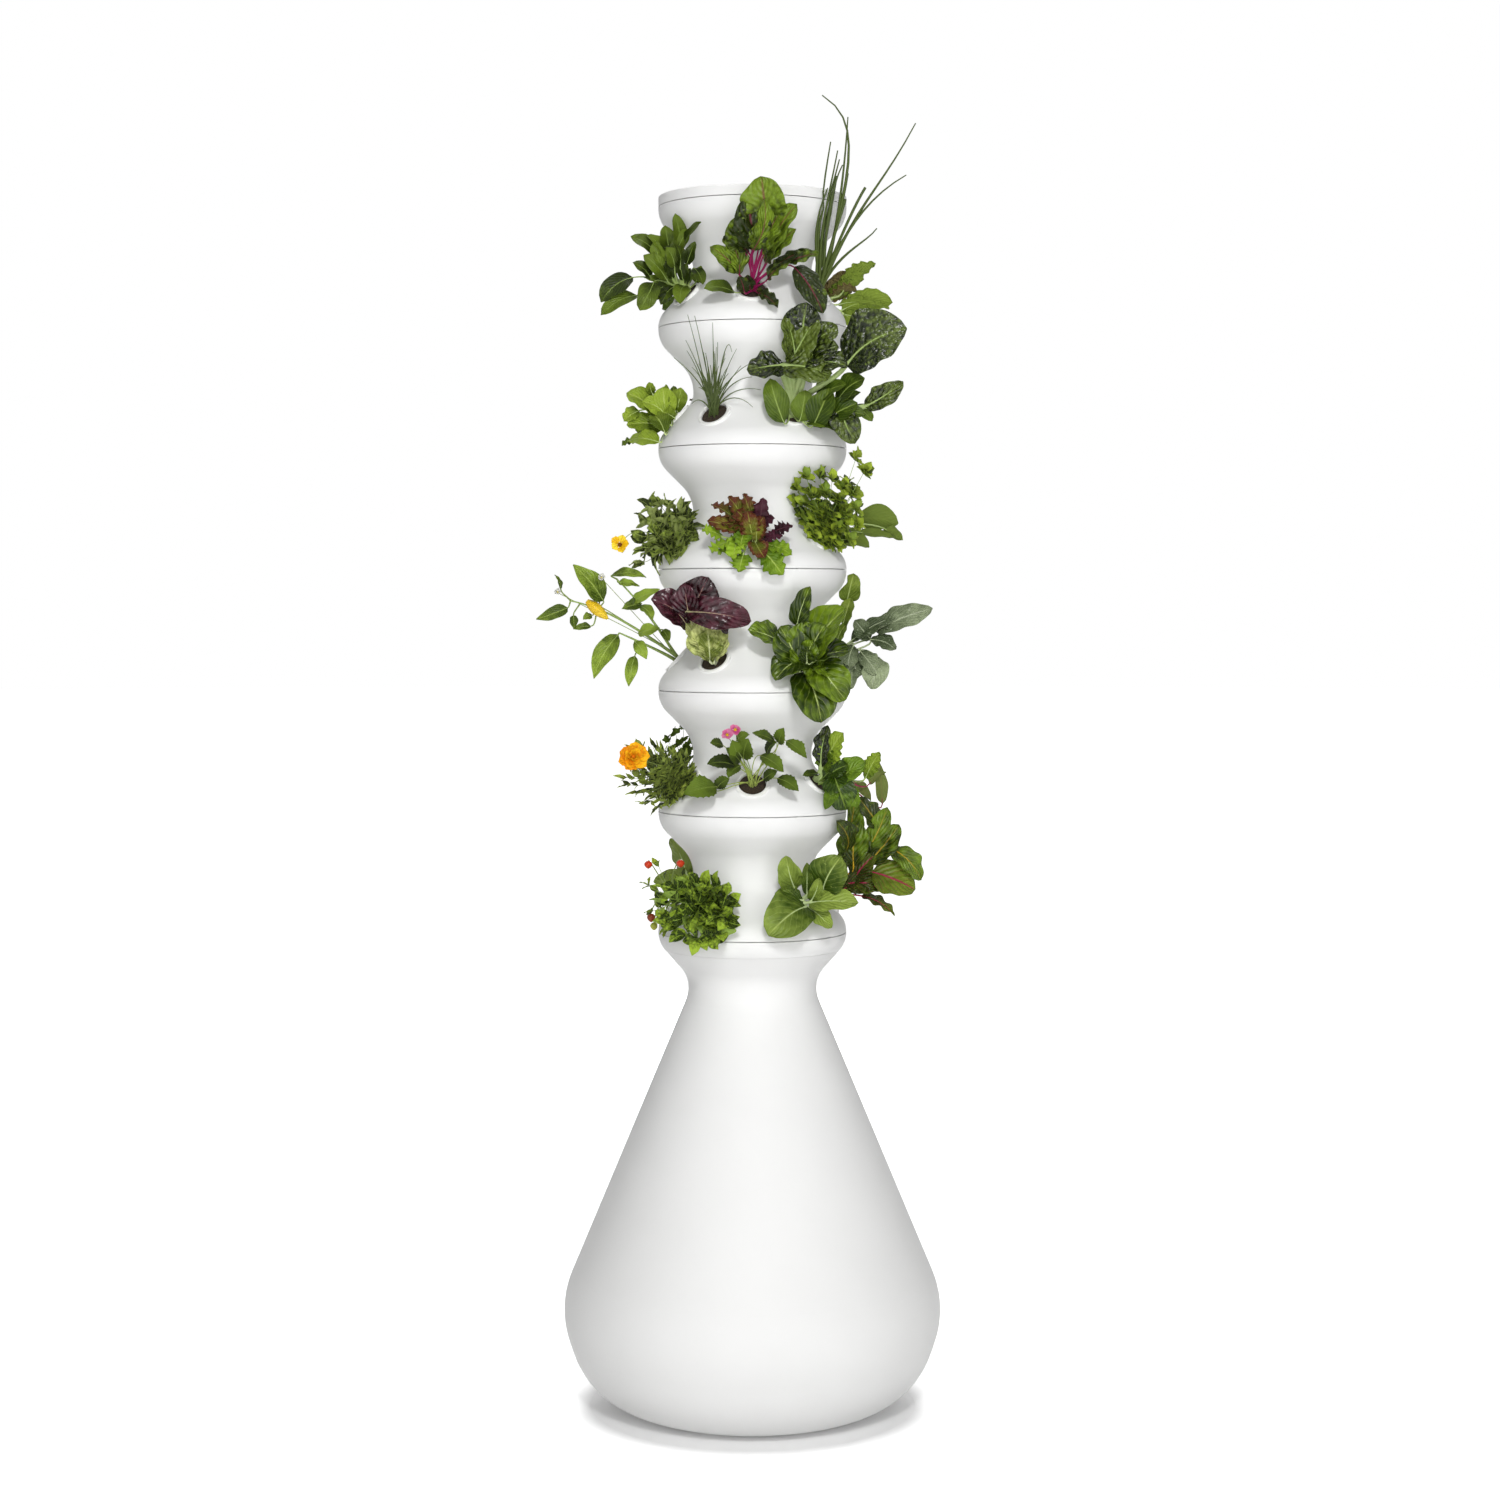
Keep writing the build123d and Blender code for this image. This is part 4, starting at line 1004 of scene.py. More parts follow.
@dataclass(frozen=True)
class HerbBush(Plant):
    """A bush of leafy sprigs, each drawn by the place of its tip."""

    kind: Species
    tips: tuple[tuple[float, float], ...]
    leaf_mm: float
    width_mm: float
    pairs: int = 4
    flat: bool = False
    start: float = 0.3
    spread: float = 60.0
    depth: float = 14.0
    dense: int = 1
    lobes: int = 1
    taper: float = 0.3

    def grow(self, foliage: Foliage, board: Drawing) -> None:
        """Grow every sprig on a bent stem, near and far ones in turn, and shorter ones between them.

        Args:
            foliage: the mesh in the making.
            board: places before the plant's port.
        """
        for layer in range(self.dense):
            for number, (right, up) in enumerate(self.tips):
                slip = foliage.random.normal(0, 4.0 * min(layer, 1), 2)
                short = 1 - 0.3 * layer
                out = self.depth * (0.25 + 0.75 * ((number * 0.618 + 0.37 * layer) % 1.0))
                tip = board.spot(right * short + slip[0], up * short + slip[1], out)
                foliage.sprig(foliage.stem(tip), self)


@dataclass(frozen=True)
class Tuft(Plant):
    """A tuft of round blades, such as chives or grass, each drawn by its bends and its tip."""

    blade: Stalk
    blades: tuple[tuple[tuple[float, float], ...], ...]
    radius_mm: float
    spare: int = 0
    reach: tuple[float, float, float] = (30.0, 60.0, 100.0)
    cut: tuple[int, ...] = ()

    def grow(self, foliage: Foliage, board: Drawing) -> None:
        """Grow the drawn blades, and then as many spare ones leaning at random.

        Args:
            foliage: the mesh in the making.
            board: places before the plant's port.
        """
        drawn = list(self.blades)
        for _ in range(self.spare):
            side = foliage.random.normal(0.0, 0.45)
            tall = foliage.random.uniform(self.reach[1], self.reach[2])
            drop = foliage.random.uniform(0.55, 1.0)
            drawn.append(((side * 12, tall * 0.5), (side * self.reach[0], tall * drop)))
        for number, bends in enumerate(drawn):
            out = foliage.random.uniform(2.0, 14.0)
            foot = foliage.foot(11 * MM, 4 * MM)
            path = curve([foot, foot + board.port.axis * 16 * MM] + [board.spot(*bend, out) for bend in bends], 14)
            end = 0.85 if number in self.cut else 0.35
            foliage.tube(path, [self.radius_mm * share * MM for share in (1.0, 0.9, end)], self.blade, 6)


@dataclass(frozen=True)
class Bloom:
    """A flower head: rings of petals about a heart, facing out of the drawing; sizes in millimetres."""

    petal: LeafBlade
    heart: Stalk
    radius: float
    petals: int
    rings: int = 1
    width: float = 0.55
    cup: float = 0.35
    heart_radius: float = 2.0
    shape: LeafShape = LeafShape(Outline.SPOON, cup=0.25, frill=0.5, frills=2.0, rows=6, columns=5, thick=0.4)

    def grow(self, foliage: Foliage, centre: Array, face: Array) -> None:
        """Grow the flower's rings of petals from the outside in, then its heart.

        Args:
            foliage: the mesh in the making.
            centre: the flower's middle.
            face: where it looks.
        """
        across = unit(np.cross(UP, face) + 1e-6)
        above = np.cross(face, across)
        for ring in range(self.rings):
            share = 1 - ring / max(self.rings, 1) * 0.8
            count = max(4, round(self.petals * (0.45 + 0.55 * share)))
            for i in range(count):
                turn = 2 * pi * (i + 0.5 * (ring % 2)) / count
                way = across * cos(turn) + above * sin(turn)
                size = self.radius * MM * foliage.random.uniform(0.8, 1.1)
                tip = centre + size * (way * share + face * (self.cup + 0.62 * (1 - share)))
                foot, wide = centre + way * 0.6 * self.heart_radius * MM, 2 * self.width * self.radius * share * MM
                foliage.blade(foot, tip, wide, self.shape, self.petal, unit(face - way * 0.2))
        heart = np.array([centre + face * self.heart_radius * MM * s for s in (-0.6, 0.0, 0.6, 1.0)])
        foliage.tube(heart, [self.heart_radius * s * MM for s in (0.4, 1.0, 0.8, 0.2)], self.heart, 8)


@dataclass(frozen=True)
class FlowerStem:
    """A flower on its own thin stem, drawn in its place."""

    bloom: Bloom
    place: tuple[float, float]
    out: float = 12.0
    stem_mm: float = 0.8
    by: tuple[float, float] = (0.0, 0.0)


@dataclass(frozen=True)
class Fruit:
    """A round or long fruit, from its stalk's end to its tip in drawing units."""

    skin: Stalk
    stalk_end: tuple[float, float]
    tip: tuple[float, float]
    radius_mm: float
    out: float = 12.0
    ribs: int = 0


@dataclass(frozen=True)
class FloweringPlant(Plant):
    """Leaves or sprigs with flowers, and perhaps fruit on thin stems."""

    greens: tuple[Plant, ...]
    flowers: tuple[FlowerStem, ...] = ()
    fruit: tuple[Fruit, ...] = ()
    # Flower stems: thin, dull and fresh green.
    stem: Stalk = Stalk("Thin flower stem, green", "#7C9048", 0.5, far="#8C9C5A")

    FRUIT_STALK_MM, VALLEY = (1.1, 0.9), 0.22

    def grow(self, foliage: Foliage, board: Drawing) -> None:
        """Grow the greens, then flowers and fruit on their stems.

        Args:
            foliage: the mesh in the making.
            board: places before the plant's port.
        """
        for green in self.greens:
            green.grow(foliage, board)
        for flower in self.flowers:
            centre = board.spot(*flower.place, flower.out)
            bend = board.port.mouth + board.port.axis * 30 * MM
            if any(flower.by):
                bend = board.spot(*flower.by, flower.out)
            path = curve([board.port.mouth, bend, bend, centre - board.face * 2 * MM], 12)
            foliage.tube(path, [flower.stem_mm * MM, flower.stem_mm * 0.7 * MM], self.stem, 6)
            flower.bloom.grow(foliage, centre, unit(board.face + board.front * board.near))
        for fruit in self.fruit:
            top, end = board.spot(*fruit.stalk_end, fruit.out), board.spot(*fruit.tip, fruit.out)
            steps = np.linspace(0, 1, 9)
            skin = np.sin(pi * np.clip(steps, 0.03, 0.985) ** 0.8) ** 0.62
            middle = top + steps[:, None] * (end - top)
            foliage.tube(middle, (fruit.radius_mm * MM * skin).tolist(), fruit.skin, 14, fruit.ribs, self.VALLEY)
            bend = board.port.mouth + board.port.axis * 35 * MM
            stalk = curve([board.port.mouth, bend, top + UP * 9 * MM, top], 10)
            foliage.tube(stalk, [size * MM for size in self.FRUIT_STALK_MM], self.stem, 6)


class Garden:
    """The kinds of plants on the tower and what grows in each port, as seen in the photograph."""

    # Leaf cuts: blistered, spoon-like, frilled, lobed, toothed and feathery ones.
    SAVOY = LeafShape(Outline.ROUND, cup=0.18, frill=3.4, frills=3.0, pucker=3.4, puckers=5.0, rows=22, columns=11)
    SPOON = LeafShape(Outline.ROUND, cup=0.2, frill=1.4, frills=2.0, pucker=1.2, rows=12, columns=7)
    FRILLED = LeafShape(Outline.ROUND, cup=0.2, frill=4.5, frills=6.0, pucker=1.6, puckers=8.0, rows=22, columns=11)
    OAK = LeafShape(
        Outline.ROUND, cup=0.12, frill=5.0, frills=5.0, pucker=1.6, teeth=5, tooth=0.2, rows=22, columns=9, ragged=0.16,
    )
    BUTTER = LeafShape(Outline.ROUND, cup=0.24, frill=2.2, frills=3.0, pucker=2.4, puckers=5.0, rows=20, columns=11)
    HEART = LeafShape(Outline.SPOON, cup=0.3, frill=4.0, frills=5.0, pucker=3.0, puckers=6.0, rows=20, columns=11)
    OVATE = LeafShape(Outline.POINTED, cup=0.16, frill=1.0, frills=2.5, pucker=0.5, rows=13, columns=7)
    SERRATE = LeafShape(
        Outline.OVAL, cup=0.2, frill=0.6, frills=2.0, pucker=0.9, teeth=7, tooth=0.16, rows=22, columns=7,
    )
    QUILT = LeafShape(
        Outline.OVAL, cup=0.16, frill=0.9, frills=2.0, teeth=3, tooth=0.08, rows=8, columns=5, thick=0.45, tilt=0.4,
    )
    LOBED = LeafShape(
        Outline.ROUND, cup=0.1, frill=1.0, frills=3.0, teeth=2, tooth=0.2, rows=6, columns=5, thick=0.4, tilt=0.4,
    )
    THREAD = LeafShape(
        Outline.POINTED, cup=0.1, frill=0.5, frills=2.0, teeth=2, tooth=0.45, rows=6, columns=3, thick=0.4, groove=0.1,
    )

    # Blistered, half-shiny blades with wine-red veins out of magenta stalks.
    CHARD = Species(
        LeafBlade(
            "Chard leaf, red veined", "#1F2B04", 0.4, "#6C841F", "#722B39", "#72833A", veins=6.0, vein_strength=0.55,
            side=0.22, relief_mm=1.6, quilt_mm=9.0, sheen=0.22,
        ),
        Stalk("Chard stalk, magenta", "#8E1450", 0.35, "#6E1C40"), SAVOY, 1.5,
    )
    # Small, smooth and waxy blades with a soft shine.
    SPINACH = Species(
        LeafBlade("Spinach leaf, dark and waxy", "#212D04", 0.36, "#5D701F", "#738737", "#667731", vein_strength=0.4),
        Stalk("Spinach stalk, pale green", "#A9BD74", 0.4, "#7F9648"), SPOON, 1.2,
    )
    # Thin crimped blades, green at the rib and burnt red along the edge.
    RED_FRILL = Species(
        LeafBlade(
            "Frilled lettuce leaf, red brown", "#4C3E1C", 0.42, "#7A6C37", "#939343", "#757043", edge="#5A2420",
            edge_from=0.5, relief_mm=1.0,
        ),
        Stalk("Lettuce rib, pale", "#C3CD94", 0.4, "#A4B468"), FRILLED, 1.8,
    )
    # Thin crimped blades, bright and juicy.
    GREEN_FRILL = Species(
        LeafBlade("Frilled lettuce leaf, light green", "#4C6412", 0.42, "#89A031", "#A8B756", "#7D9137", relief_mm=1.0),
        Stalk("Lettuce rib, light green", "#C6D698", 0.4, "#A3BC60"), FRILLED, 1.8,
    )
    # Thick, deeply blistered blades with small sharp glints, partly painted as lighter blister middles, on very dark
    # green.
    TATSOI = Species(
        LeafBlade(
            "Tatsoi leaf, dark and glossy", "#161F08", 0.24, "#5C6C28", "#7C8E40", "#647432", veins=5.0,
            vein_strength=0.45, relief_mm=1.8, quilt_mm=7.0, sheen=0.34,
        ),
        Stalk("Tatsoi stalk, pale green and thick", "#B7C98A", 0.35, "#8FA75A"), SAVOY, 4.8,
    )
    # Plain, smooth mid-green blades.
    GREENS = Species(
        LeafBlade("Salad leaf, mid green", "#2E4009", 0.38, "#637924", "#899B43", "#697A32"),
        Stalk("Salad stalk, pale green", "#B2C480", 0.4, "#90A85A"), SPOON, 1.3,
    )
    # Soft, dull and yellow green.
    BUTTER_LIGHT = Species(
        LeafBlade("Butter lettuce leaf, yellow green", "#475A0F", 0.42, "#8BA132", "#ACBB5B", "#859A3D"),
        Stalk("Butter lettuce rib, pale", "#CAD89E", 0.4, "#B0C672"), BUTTER, 1.6,
    )
    # Finely pebbled, downy leaves that don't shine.
    SAGE = Species(
        LeafBlade(
            "Herb leaf, grey green", "#27310B", 0.55, "#97AB49", "#B2C46E", "#B0BF70", relief_mm=0.9, quilt_mm=5.0,
        ),
        Stalk("Herb stem, grey green", "#7C8C58", 0.5, "#8A9866"), QUILT, 0.9,
    )
    # Crinkled green blades with brown-red edges.
    OAK_RED = Species(
        LeafBlade(
            "Oakleaf lettuce leaf, bronze", "#4E5616", 0.4, "#81832A", "#989D44", "#70732F", edge="#5A2A1C",
            edge_from=0.62, relief_mm=1.0,
        ),
        Stalk("Oakleaf rib, pale", "#BFCB88", 0.4, "#98A856"), FRILLED, 1.4,
    )
    # Deeply cut, wavy and bright.
    OAK_GREEN = Species(
        LeafBlade("Oakleaf lettuce leaf, bright green", "#4F6C10", 0.4, "#8EAE2C", "#A2B54E", "#7D9732"),
        Stalk("Oakleaf rib, green", "#C2D48E", 0.4, "#A0BA58"), OAK, 1.6,
    )
    # Dark and wine-coloured with a dim sheen.
    OAK_PURPLE = Species(
        LeafBlade(
            "Oakleaf lettuce leaf, dark purple", "#270B13", 0.36, "#4E2432", "#634248", "#442A32", vein_strength=0.4,
        ),
        Stalk("Oakleaf rib, purple", "#8E6A6A", 0.4, "#5C3440"), OAK, 1.4,
    )
    # Thin, light leaflets of one even green.
    CILANTRO = Species(
        LeafBlade("Cilantro leaf, fresh green", "#2B3908", 0.45, "#A5BA3A", "#ADC851", "#91AB45", vein_strength=0.35),
        Stalk("Cilantro stem, pale green", "#A9BE74", 0.45, "#8CA654"), LOBED, 0.9, 0.08,
    )
    # Small dark leaflets, dull and even.
    PARSLEY = Species(
        LeafBlade("Parsley leaf, dark green", "#30430A", 0.45, "#648225", "#769031", "#647A2E", vein_strength=0.3),
        Stalk("Parsley stem, green", "#7E9648", 0.45, "#6C843C"), LOBED, 0.9, 0.08,
    )
    # Big glossy blades, nearly black, purple in random patches and, as painted light, towards their tips and on their
    # blister middles.
    RED_LETTUCE = Species(
        LeafBlade(
            "Red lettuce leaf, purple and glossy", "#1F060A", 0.26, "#4C1C2A", "#6E424A", "#5B3E40", veins=5.0,
            vein_strength=0.45, midrib=0.07, relief_mm=1.6, quilt_mm=12.0, sheen=0.34,
        ),
        Stalk("Red lettuce rib, pale green", "#C4CE96", 0.4, "#9A7A6A"), BUTTER, 2.4,
    )
    # Pale, crumpled and dull inner leaves with whitish ribs.
    LETTUCE_HEART = Species(
        LeafBlade(
            "Lettuce heart leaf, pale and crumpled", "#66732C", 0.42, "#CCD386", "#DDE4A0", "#B4BF6C", relief_mm=1.8,
            quilt_mm=10.0,
        ),
        Stalk("Lettuce heart rib, whitish", "#DCE2C0", 0.4, "#C0CA90"), HEART, 2.4,
    )
    # Broad, glossy blades with shallow blisters and whitish ribs.
    BUTTERHEAD = Species(
        LeafBlade(
            "Butterhead leaf, glossy green", "#253603", 0.28, "#6B8418", "#ABB960", "#6B832C", veins=5.0, midrib=0.06,
            vein_strength=0.5, relief_mm=1.4, quilt_mm=15.0, sheen=0.22,
        ),
        Stalk("Butterhead rib, whitish green", "#D2DEAE", 0.35, "#BCCF86"), BUTTER, 2.6,
    )
    # A wax bloom makes the blades grey and dull.
    KALE = Species(
        LeafBlade("Kale leaf, grey green", "#424E32", 0.5, "#98A480", "#B4BCA2", "#A0A98F", relief_mm=1.2),
        Stalk("Kale stalk, pale", "#B8C29C", 0.45, "#98A47A"), SAVOY, 1.6,
    )
    # Lighter and greener, with less of the bloom.
    KALE_LIGHT = Species(
        LeafBlade("Young kale leaf, light green", "#56681F", 0.48, "#92A545", "#A4B05D", "#859349", relief_mm=1.0),
        Stalk("Young kale stalk, pale", "#BCCB96", 0.45, "#A0B470"), BUTTER, 1.4,
    )
    # Smooth, leathery leaves with a soft shine.
    PEPPER = Species(
        LeafBlade("Pepper leaf, smooth green", "#3E5012", 0.36, "#92AB3D", "#A9BB59", "#8A9E47", veins=6.0),
        Stalk("Pepper stem, woody green", "#7E8F4C", 0.5, "#8FA65A"), OVATE, 1.2,
    )
    # Toothed, hairy and dull leaves with close veins.
    STRAWBERRY = Species(
        LeafBlade("Strawberry leaf, toothed and dull", "#212C08", 0.5, "#5E7322", "#6C8030", "#6C7C3C", veins=9.0),
        Stalk("Strawberry leaf stalk, pale green", "#98A654", 0.5, "#82954A"), SERRATE, 0.8,
    )
    # Cupped, oily leaves with broad soft glints, partly painted as lighter blister middles.
    BASIL = Species(
        LeafBlade(
            "Basil leaf, shiny green", "#273C04", 0.32, "#678521", "#7D9337", "#687F2F", relief_mm=1.2, quilt_mm=11.0,
            sheen=0.22,
        ),
        Stalk("Basil stem, green", "#8CA454", 0.45, "#7E9A44"), BUTTER, 1.4,
    )
    # Long smooth leaves with a blood-red net of veins.
    SORREL = Species(
        LeafBlade("Sorrel leaf, red veined", "#354518", 0.42, "#697B33", "#80263B", "#737E42", vein_strength=0.75),
        Stalk("Sorrel stalk, red", "#93304A", 0.4, "#7E3446"), OVATE, 1.3,
    )
    # Dull leaflets, fine as feathers.
    FEATHER = Species(
        LeafBlade("Marigold leaflet, dull green", "#2E3A12", 0.55, "#B0C354", "#B7C665", "#A2B45E", vein_strength=0.2),
        Stalk("Marigold stem, green", "#7A8C50", 0.5, "#86965C"), THREAD, 0.8, 0.06,
    )
    # Soft, smooth blades on thick whitish stalks.
    BOK_CHOY = Species(
        LeafBlade(
            "Bok choy leaf, soft green", "#34490D", 0.36, "#889C42", "#AAB962", "#849549", veins=6.0, midrib=0.07,
            vein_strength=0.55, relief_mm=1.2,
        ),
        Stalk("Bok choy stalk, whitish green", "#C8D6A4", 0.35, "#B2C585"), BUTTER, 3.0,
    )
    # Small pebbled leaves, painted lighter towards their tips and on their pebbles' middles, and painted darker on
    # inner and lower leaves and between the pebbles.
    MINT = Species(
        LeafBlade(
            "Mint leaf, quilted green", "#253407", 0.48, "#ABC83F", "#B7D858", "#A2C058", veins=5.0, relief_mm=1.2,
            quilt_mm=5.0,
        ),
        Stalk("Mint stem, green", "#84984E", 0.5, "#7C9446"), QUILT, 1.0,
    )
    # Blistered, half-shiny blades with golden veins and stalks.
    GOLD_CHARD = Species(
        LeafBlade(
            "Chard leaf, yellow veined", "#273607", 0.36, "#698420", "#9F8D36", "#687C2F", veins=6.0, relief_mm=1.6,
            quilt_mm=13.0, sheen=0.22,
        ),
        Stalk("Chard stalk, yellow", "#D8A820", 0.35, "#C7A22E"), SAVOY, 1.5,
    )
    # Flatter blades with bright ruby veins and stalks.
    RUBY_CHARD = Species(
        LeafBlade(
            "Chard leaf, ruby veined", "#283508", 0.36, "#6B7E24", "#971A47", "#697935", veins=6.0, vein_strength=0.8,
            relief_mm=1.2,
        ),
        Stalk("Chard stalk, ruby", "#B01450", 0.35, "#9C1848"), SAVOY, 1.6,
    )
    # Velvety pink petals round a dusty yellow heart.
    PINK = Bloom(
        LeafBlade("Strawberry petal, pink", "#D6508C", 0.5, "#E88CB4", "#C84080", "#E0A0BE", vein_strength=0.2),
        Stalk("Strawberry flower heart, yellow", "#D8B83C", 0.7, "#C7A22A"), 9.0, 5, heart_radius=3.0,
    )
    # Small, plain white petals.
    WHITE = Bloom(
        LeafBlade("Pepper petal, white", "#E8E8DC", 0.5, "#F4F4EC", "#D8DCC4", "#E4E6D8", vein_strength=0.2),
        Stalk("Pepper flower heart, yellow", "#D9C860", 0.6, "#CDBB4C"), 6.0, 5, heart_radius=1.6,
    )
    # Velvety yellow petals with a dark throat.
    VIOLA = Bloom(
        LeafBlade(
            "Viola petal, yellow with a dark throat", "#E6B410", 0.5, "#F8DC40", "#6A3A10", "#E4C24A", veins=0.5,
            midrib=0.1, vein_strength=0.4,
        ),
        Stalk("Viola throat, dark", "#3E1A1C", 0.6, "#6A3A14"), 15.0, 5, width=0.5, heart_radius=4.0,
    )
    # Ruffled orange petals, yellow at their tips.
    ORANGE = Bloom(
        LeafBlade("Marigold petal, orange", "#EC8606", 0.5, "#FFC01C", "#DE7208", "#F2A41C", vein_strength=0.2),
        Stalk("Marigold heart, deep orange", "#C86406", 0.6, "#DC7C08"), 25.0, 9, 4, 0.44, 0.12, 4.0,
    )
    # Tomato and pepper skins: tight, smooth and shiny.
    RED_SKIN = Stalk("Cherry tomato skin, ripe red", "#C6301A", 0.2, "#D04A1E")
    BROWN_SKIN = Stalk("Cherry tomato skin, brown red", "#7E3420", 0.25, "#94482A")
    GREEN_SKIN = Stalk("Cherry tomato skin, green", "#93A03A", 0.25, "#B2B04A")
    GOLD_SKIN = Stalk("Pepper skin, yellow", "#E2B81C", 0.18, "#EBC93A")
    # Chives and grass: round blades, dull and grey green.
    CHIVE = Stalk("Chive blade, grey green", "#4E5C26", 0.45, "#445226")
    GRASS = Stalk("Grass blade, thin and grey green", "#46532A", 0.5, "#566338")

    @classmethod
    def drawn(cls) -> dict[str, Plant]:
        """The plants that the photograph shows, by port."""
        return {**cls.upper(), **cls.middle(), **cls.lower()}

    @classmethod
    def upper(cls) -> dict[str, Plant]:
        """Draw the plants of the two top rings.

        Returns:
            The plants by port.
        """
        # Three of the chard's inner leaves are darkened with painted shade.
        chard = (
            Leaf((16, 64), (9, 105), 46, 10), Leaf((-0.5, 37), (-4, 86), 38, 9),
            Leaf((1, 36), (12, 83), 20, 15, roll=0.7), Leaf((13, 24), (44, 78), 36, 11),
            Leaf((15, 24), (43, 54), 28, 16), Leaf((-15, 15), (-42, 38), 20, 8), Leaf((-8, 38), (-18, 66), 30, 10),
            Leaf((10, 38), (26, 70), 32, 11), Leaf((2, 36), (6, 62), 24, 14), Leaf((-4, 34), (-30, 44), 24, 9, age=0.3),
            Leaf((12, 32), (38, 50), 26, 9, age=0.3), Leaf((6, 44), (-10, 78), 30, 6, age=0.3),
            Leaf((-13, 13), (-27, 49), 22, 6), Leaf((-18, -5), (-48, -3), 18, 9, kind=cls.SPINACH),
            Leaf((7, -6), (25, -22), 14, 8), Leaf((-8, -5), (-13, 10), 14, 10), Leaf((15, 8), (40, 25), 18, 8),
            Leaf((36, 24), (66, 31), 15, 10), Leaf((42, 19), (70, -28), 26, 5, 2, bend=0.08),
        )
        spinach = (
            Leaf((-5, 50), (-11, 77), 15), Leaf((-4, 40), (15, 67), 18), Leaf((-18, 46), (-21, 66), 17),
            Leaf((-10, 40), (2, 62), 16, 7), Leaf((-30, 38), (-56, 55), 16), Leaf((-20, 36), (-40, 56), 17),
            Leaf((-36, 14), (-54, 29), 16), Leaf((-26, 30), (-30, 50), 16, 8), Leaf((-20, 12), (-43, 36), 19, 9),
            Leaf((-54, 14), (-86, -12), 22, 8, bend=0.18), Leaf((-12, 24), (-20, 44), 16, 10),
            Leaf((-50, -4), (-86, -25), 18, 8, bend=0.18), Leaf((-33, 9), (-47, -20), 22, 12, bend=0.2),
            Leaf((-2, 6), (-6, -14), 17, 10, bend=0.2), Leaf((8, 24), (17, 6), 13, 8), Leaf((0, 28), (9, 50), 14),
            Leaf((-18, 22), (-32, 43), 16, 6), Leaf((9, 10), (15, 26), 12, 6), Leaf((-6, 26), (-10, 46), 15, 12),
        )
        chives = (
            ((28, 80), (32, 135), (44, 168), (3, 193)), ((20, 60), (26, 120), (29, 172)),
            ((22, 62), (48, 92), (68, 112), (97, 166)), ((22, 58), (46, 92), (88, 115)),
            ((20, 50), (34, 82), (47, 103)), ((-4, 44), (2, 90), (12, 149)), ((14, 40), (46, 45), (59, 63)),
            ((-6, 44), (8, 80), (19, 140)), ((-2, 60), (12, 96), (21, 132)), ((6, 50), (14, 90), (18, 116)),
            ((-8, 40), (-6, 68), (9, 102)), ((10, 50), (22, 70), (27, 92)), ((2, 40), (10, 100), (24, 126)),
            ((12, 40), (24, 80), (30, 118)),
        )
        red_green = (
            Leaf((14, 8), (43, 32), 27, kind=cls.RED_FRILL), Leaf((12, 3), (27, 34), 22, kind=cls.RED_FRILL),
            Leaf((14, 1), (43, 14), 20, kind=cls.RED_FRILL), Leaf((27, 10), (63, 43), 22), Leaf((27, -8), (81, 2), 27),
            Leaf((29, -12), (79, -17), 15), Leaf((27, -10), (50, -24), 16),
        )
        tatsoi = (
            Leaf((55, 46), (114, 80), 68, 10), Leaf((14, 68), (16, 107), 40, 5), Leaf((4, 50), (-6, 94), 40, 8),
            Leaf((0, 52), (24, 94), 40, 6), Leaf((9, 58), (46, 84), 38, 4), Leaf((2, 50), (47, 63), 36, 12),
            Leaf((-7, 47), (-44, 41), 34, 13), Leaf((20, 46), (56, 44), 30, 13),
            Leaf((-6, 46), (40, 36), 38, 17, bend=0.22), Leaf((47, 12), (73, 32), 30, 10, kind=cls.GREENS),
            Leaf((74, 5), (111, 28), 24, 8), Leaf((50, 4), (64, -32), 28, 12, bend=0.2),
            Leaf((-7, -11), (-21, 33), 25, 9, kind=cls.GREENS), Leaf((22, -14), (38, 23), 30, 13, kind=cls.GREENS),
            Leaf((9, -8), (14, 22), 24, 8, kind=cls.GREENS), Leaf((16, -10), (43, -16), 16, 10, kind=cls.GREENS),
            Leaf((26, 12), (55, 27), 28, 8, kind=cls.GREENS), Leaf((34, -8), (66, 8), 26, 12, kind=cls.GREENS),
            Leaf((38, -4), (74, -4), 22, 10, kind=cls.GREENS), Leaf((30, -12), (58, -19), 18, 11, kind=cls.GREENS),
        )
        grass = (
            ((-10, 40), (-26, 96)), ((-8, 50), (-19, 95)), ((0, 50), (-1, 88)), ((4, 40), (4, 69)),
            ((6, 50), (14, 84), (18, 60)), ((-14, 36), (-40, 54)), ((14, 40), (38, 49)), ((14, 34), (38, 35)),
            ((16, 30), (47, 22)), ((18, 28), (39, 5)), ((-12, 40), (-27, 61)), ((-12, 20), (-22, 9)),
        )
        butter = (
            Leaf((-22, 5), (-52, 25), 32, 7), Leaf((-13, 0), (-15, 31), 27, 7), Leaf((-2, 5), (-1, 29), 18, 7),
            Leaf((-40, 7), (-55, -4), 17, 6), Leaf((-21, -7), (-52, -8), 23, 8), Leaf((-12, -18), (-26, 2), 20, 12),
            Leaf((-18, -27), (-50, -24), 23, 7), Leaf((-44, -25), (-57, -29), 10, 7), Leaf((-26, 25), (-29, 36), 10, 6),
            Leaf((0, 7), (4, 30), 17, 8), Leaf((-10, 0), (-36, 16), 24, 11),
        )
        side = (
            Leaf((12, 11), (29, -26), 20, 8), Leaf((29, 13), (46, -4), 14, 8), Leaf((10, 8), (34, 26), 18, 5),
            Leaf((8, 2), (20, -18), 13, 10), Leaf((14, 14), (22, 40), 14, 3),
        )
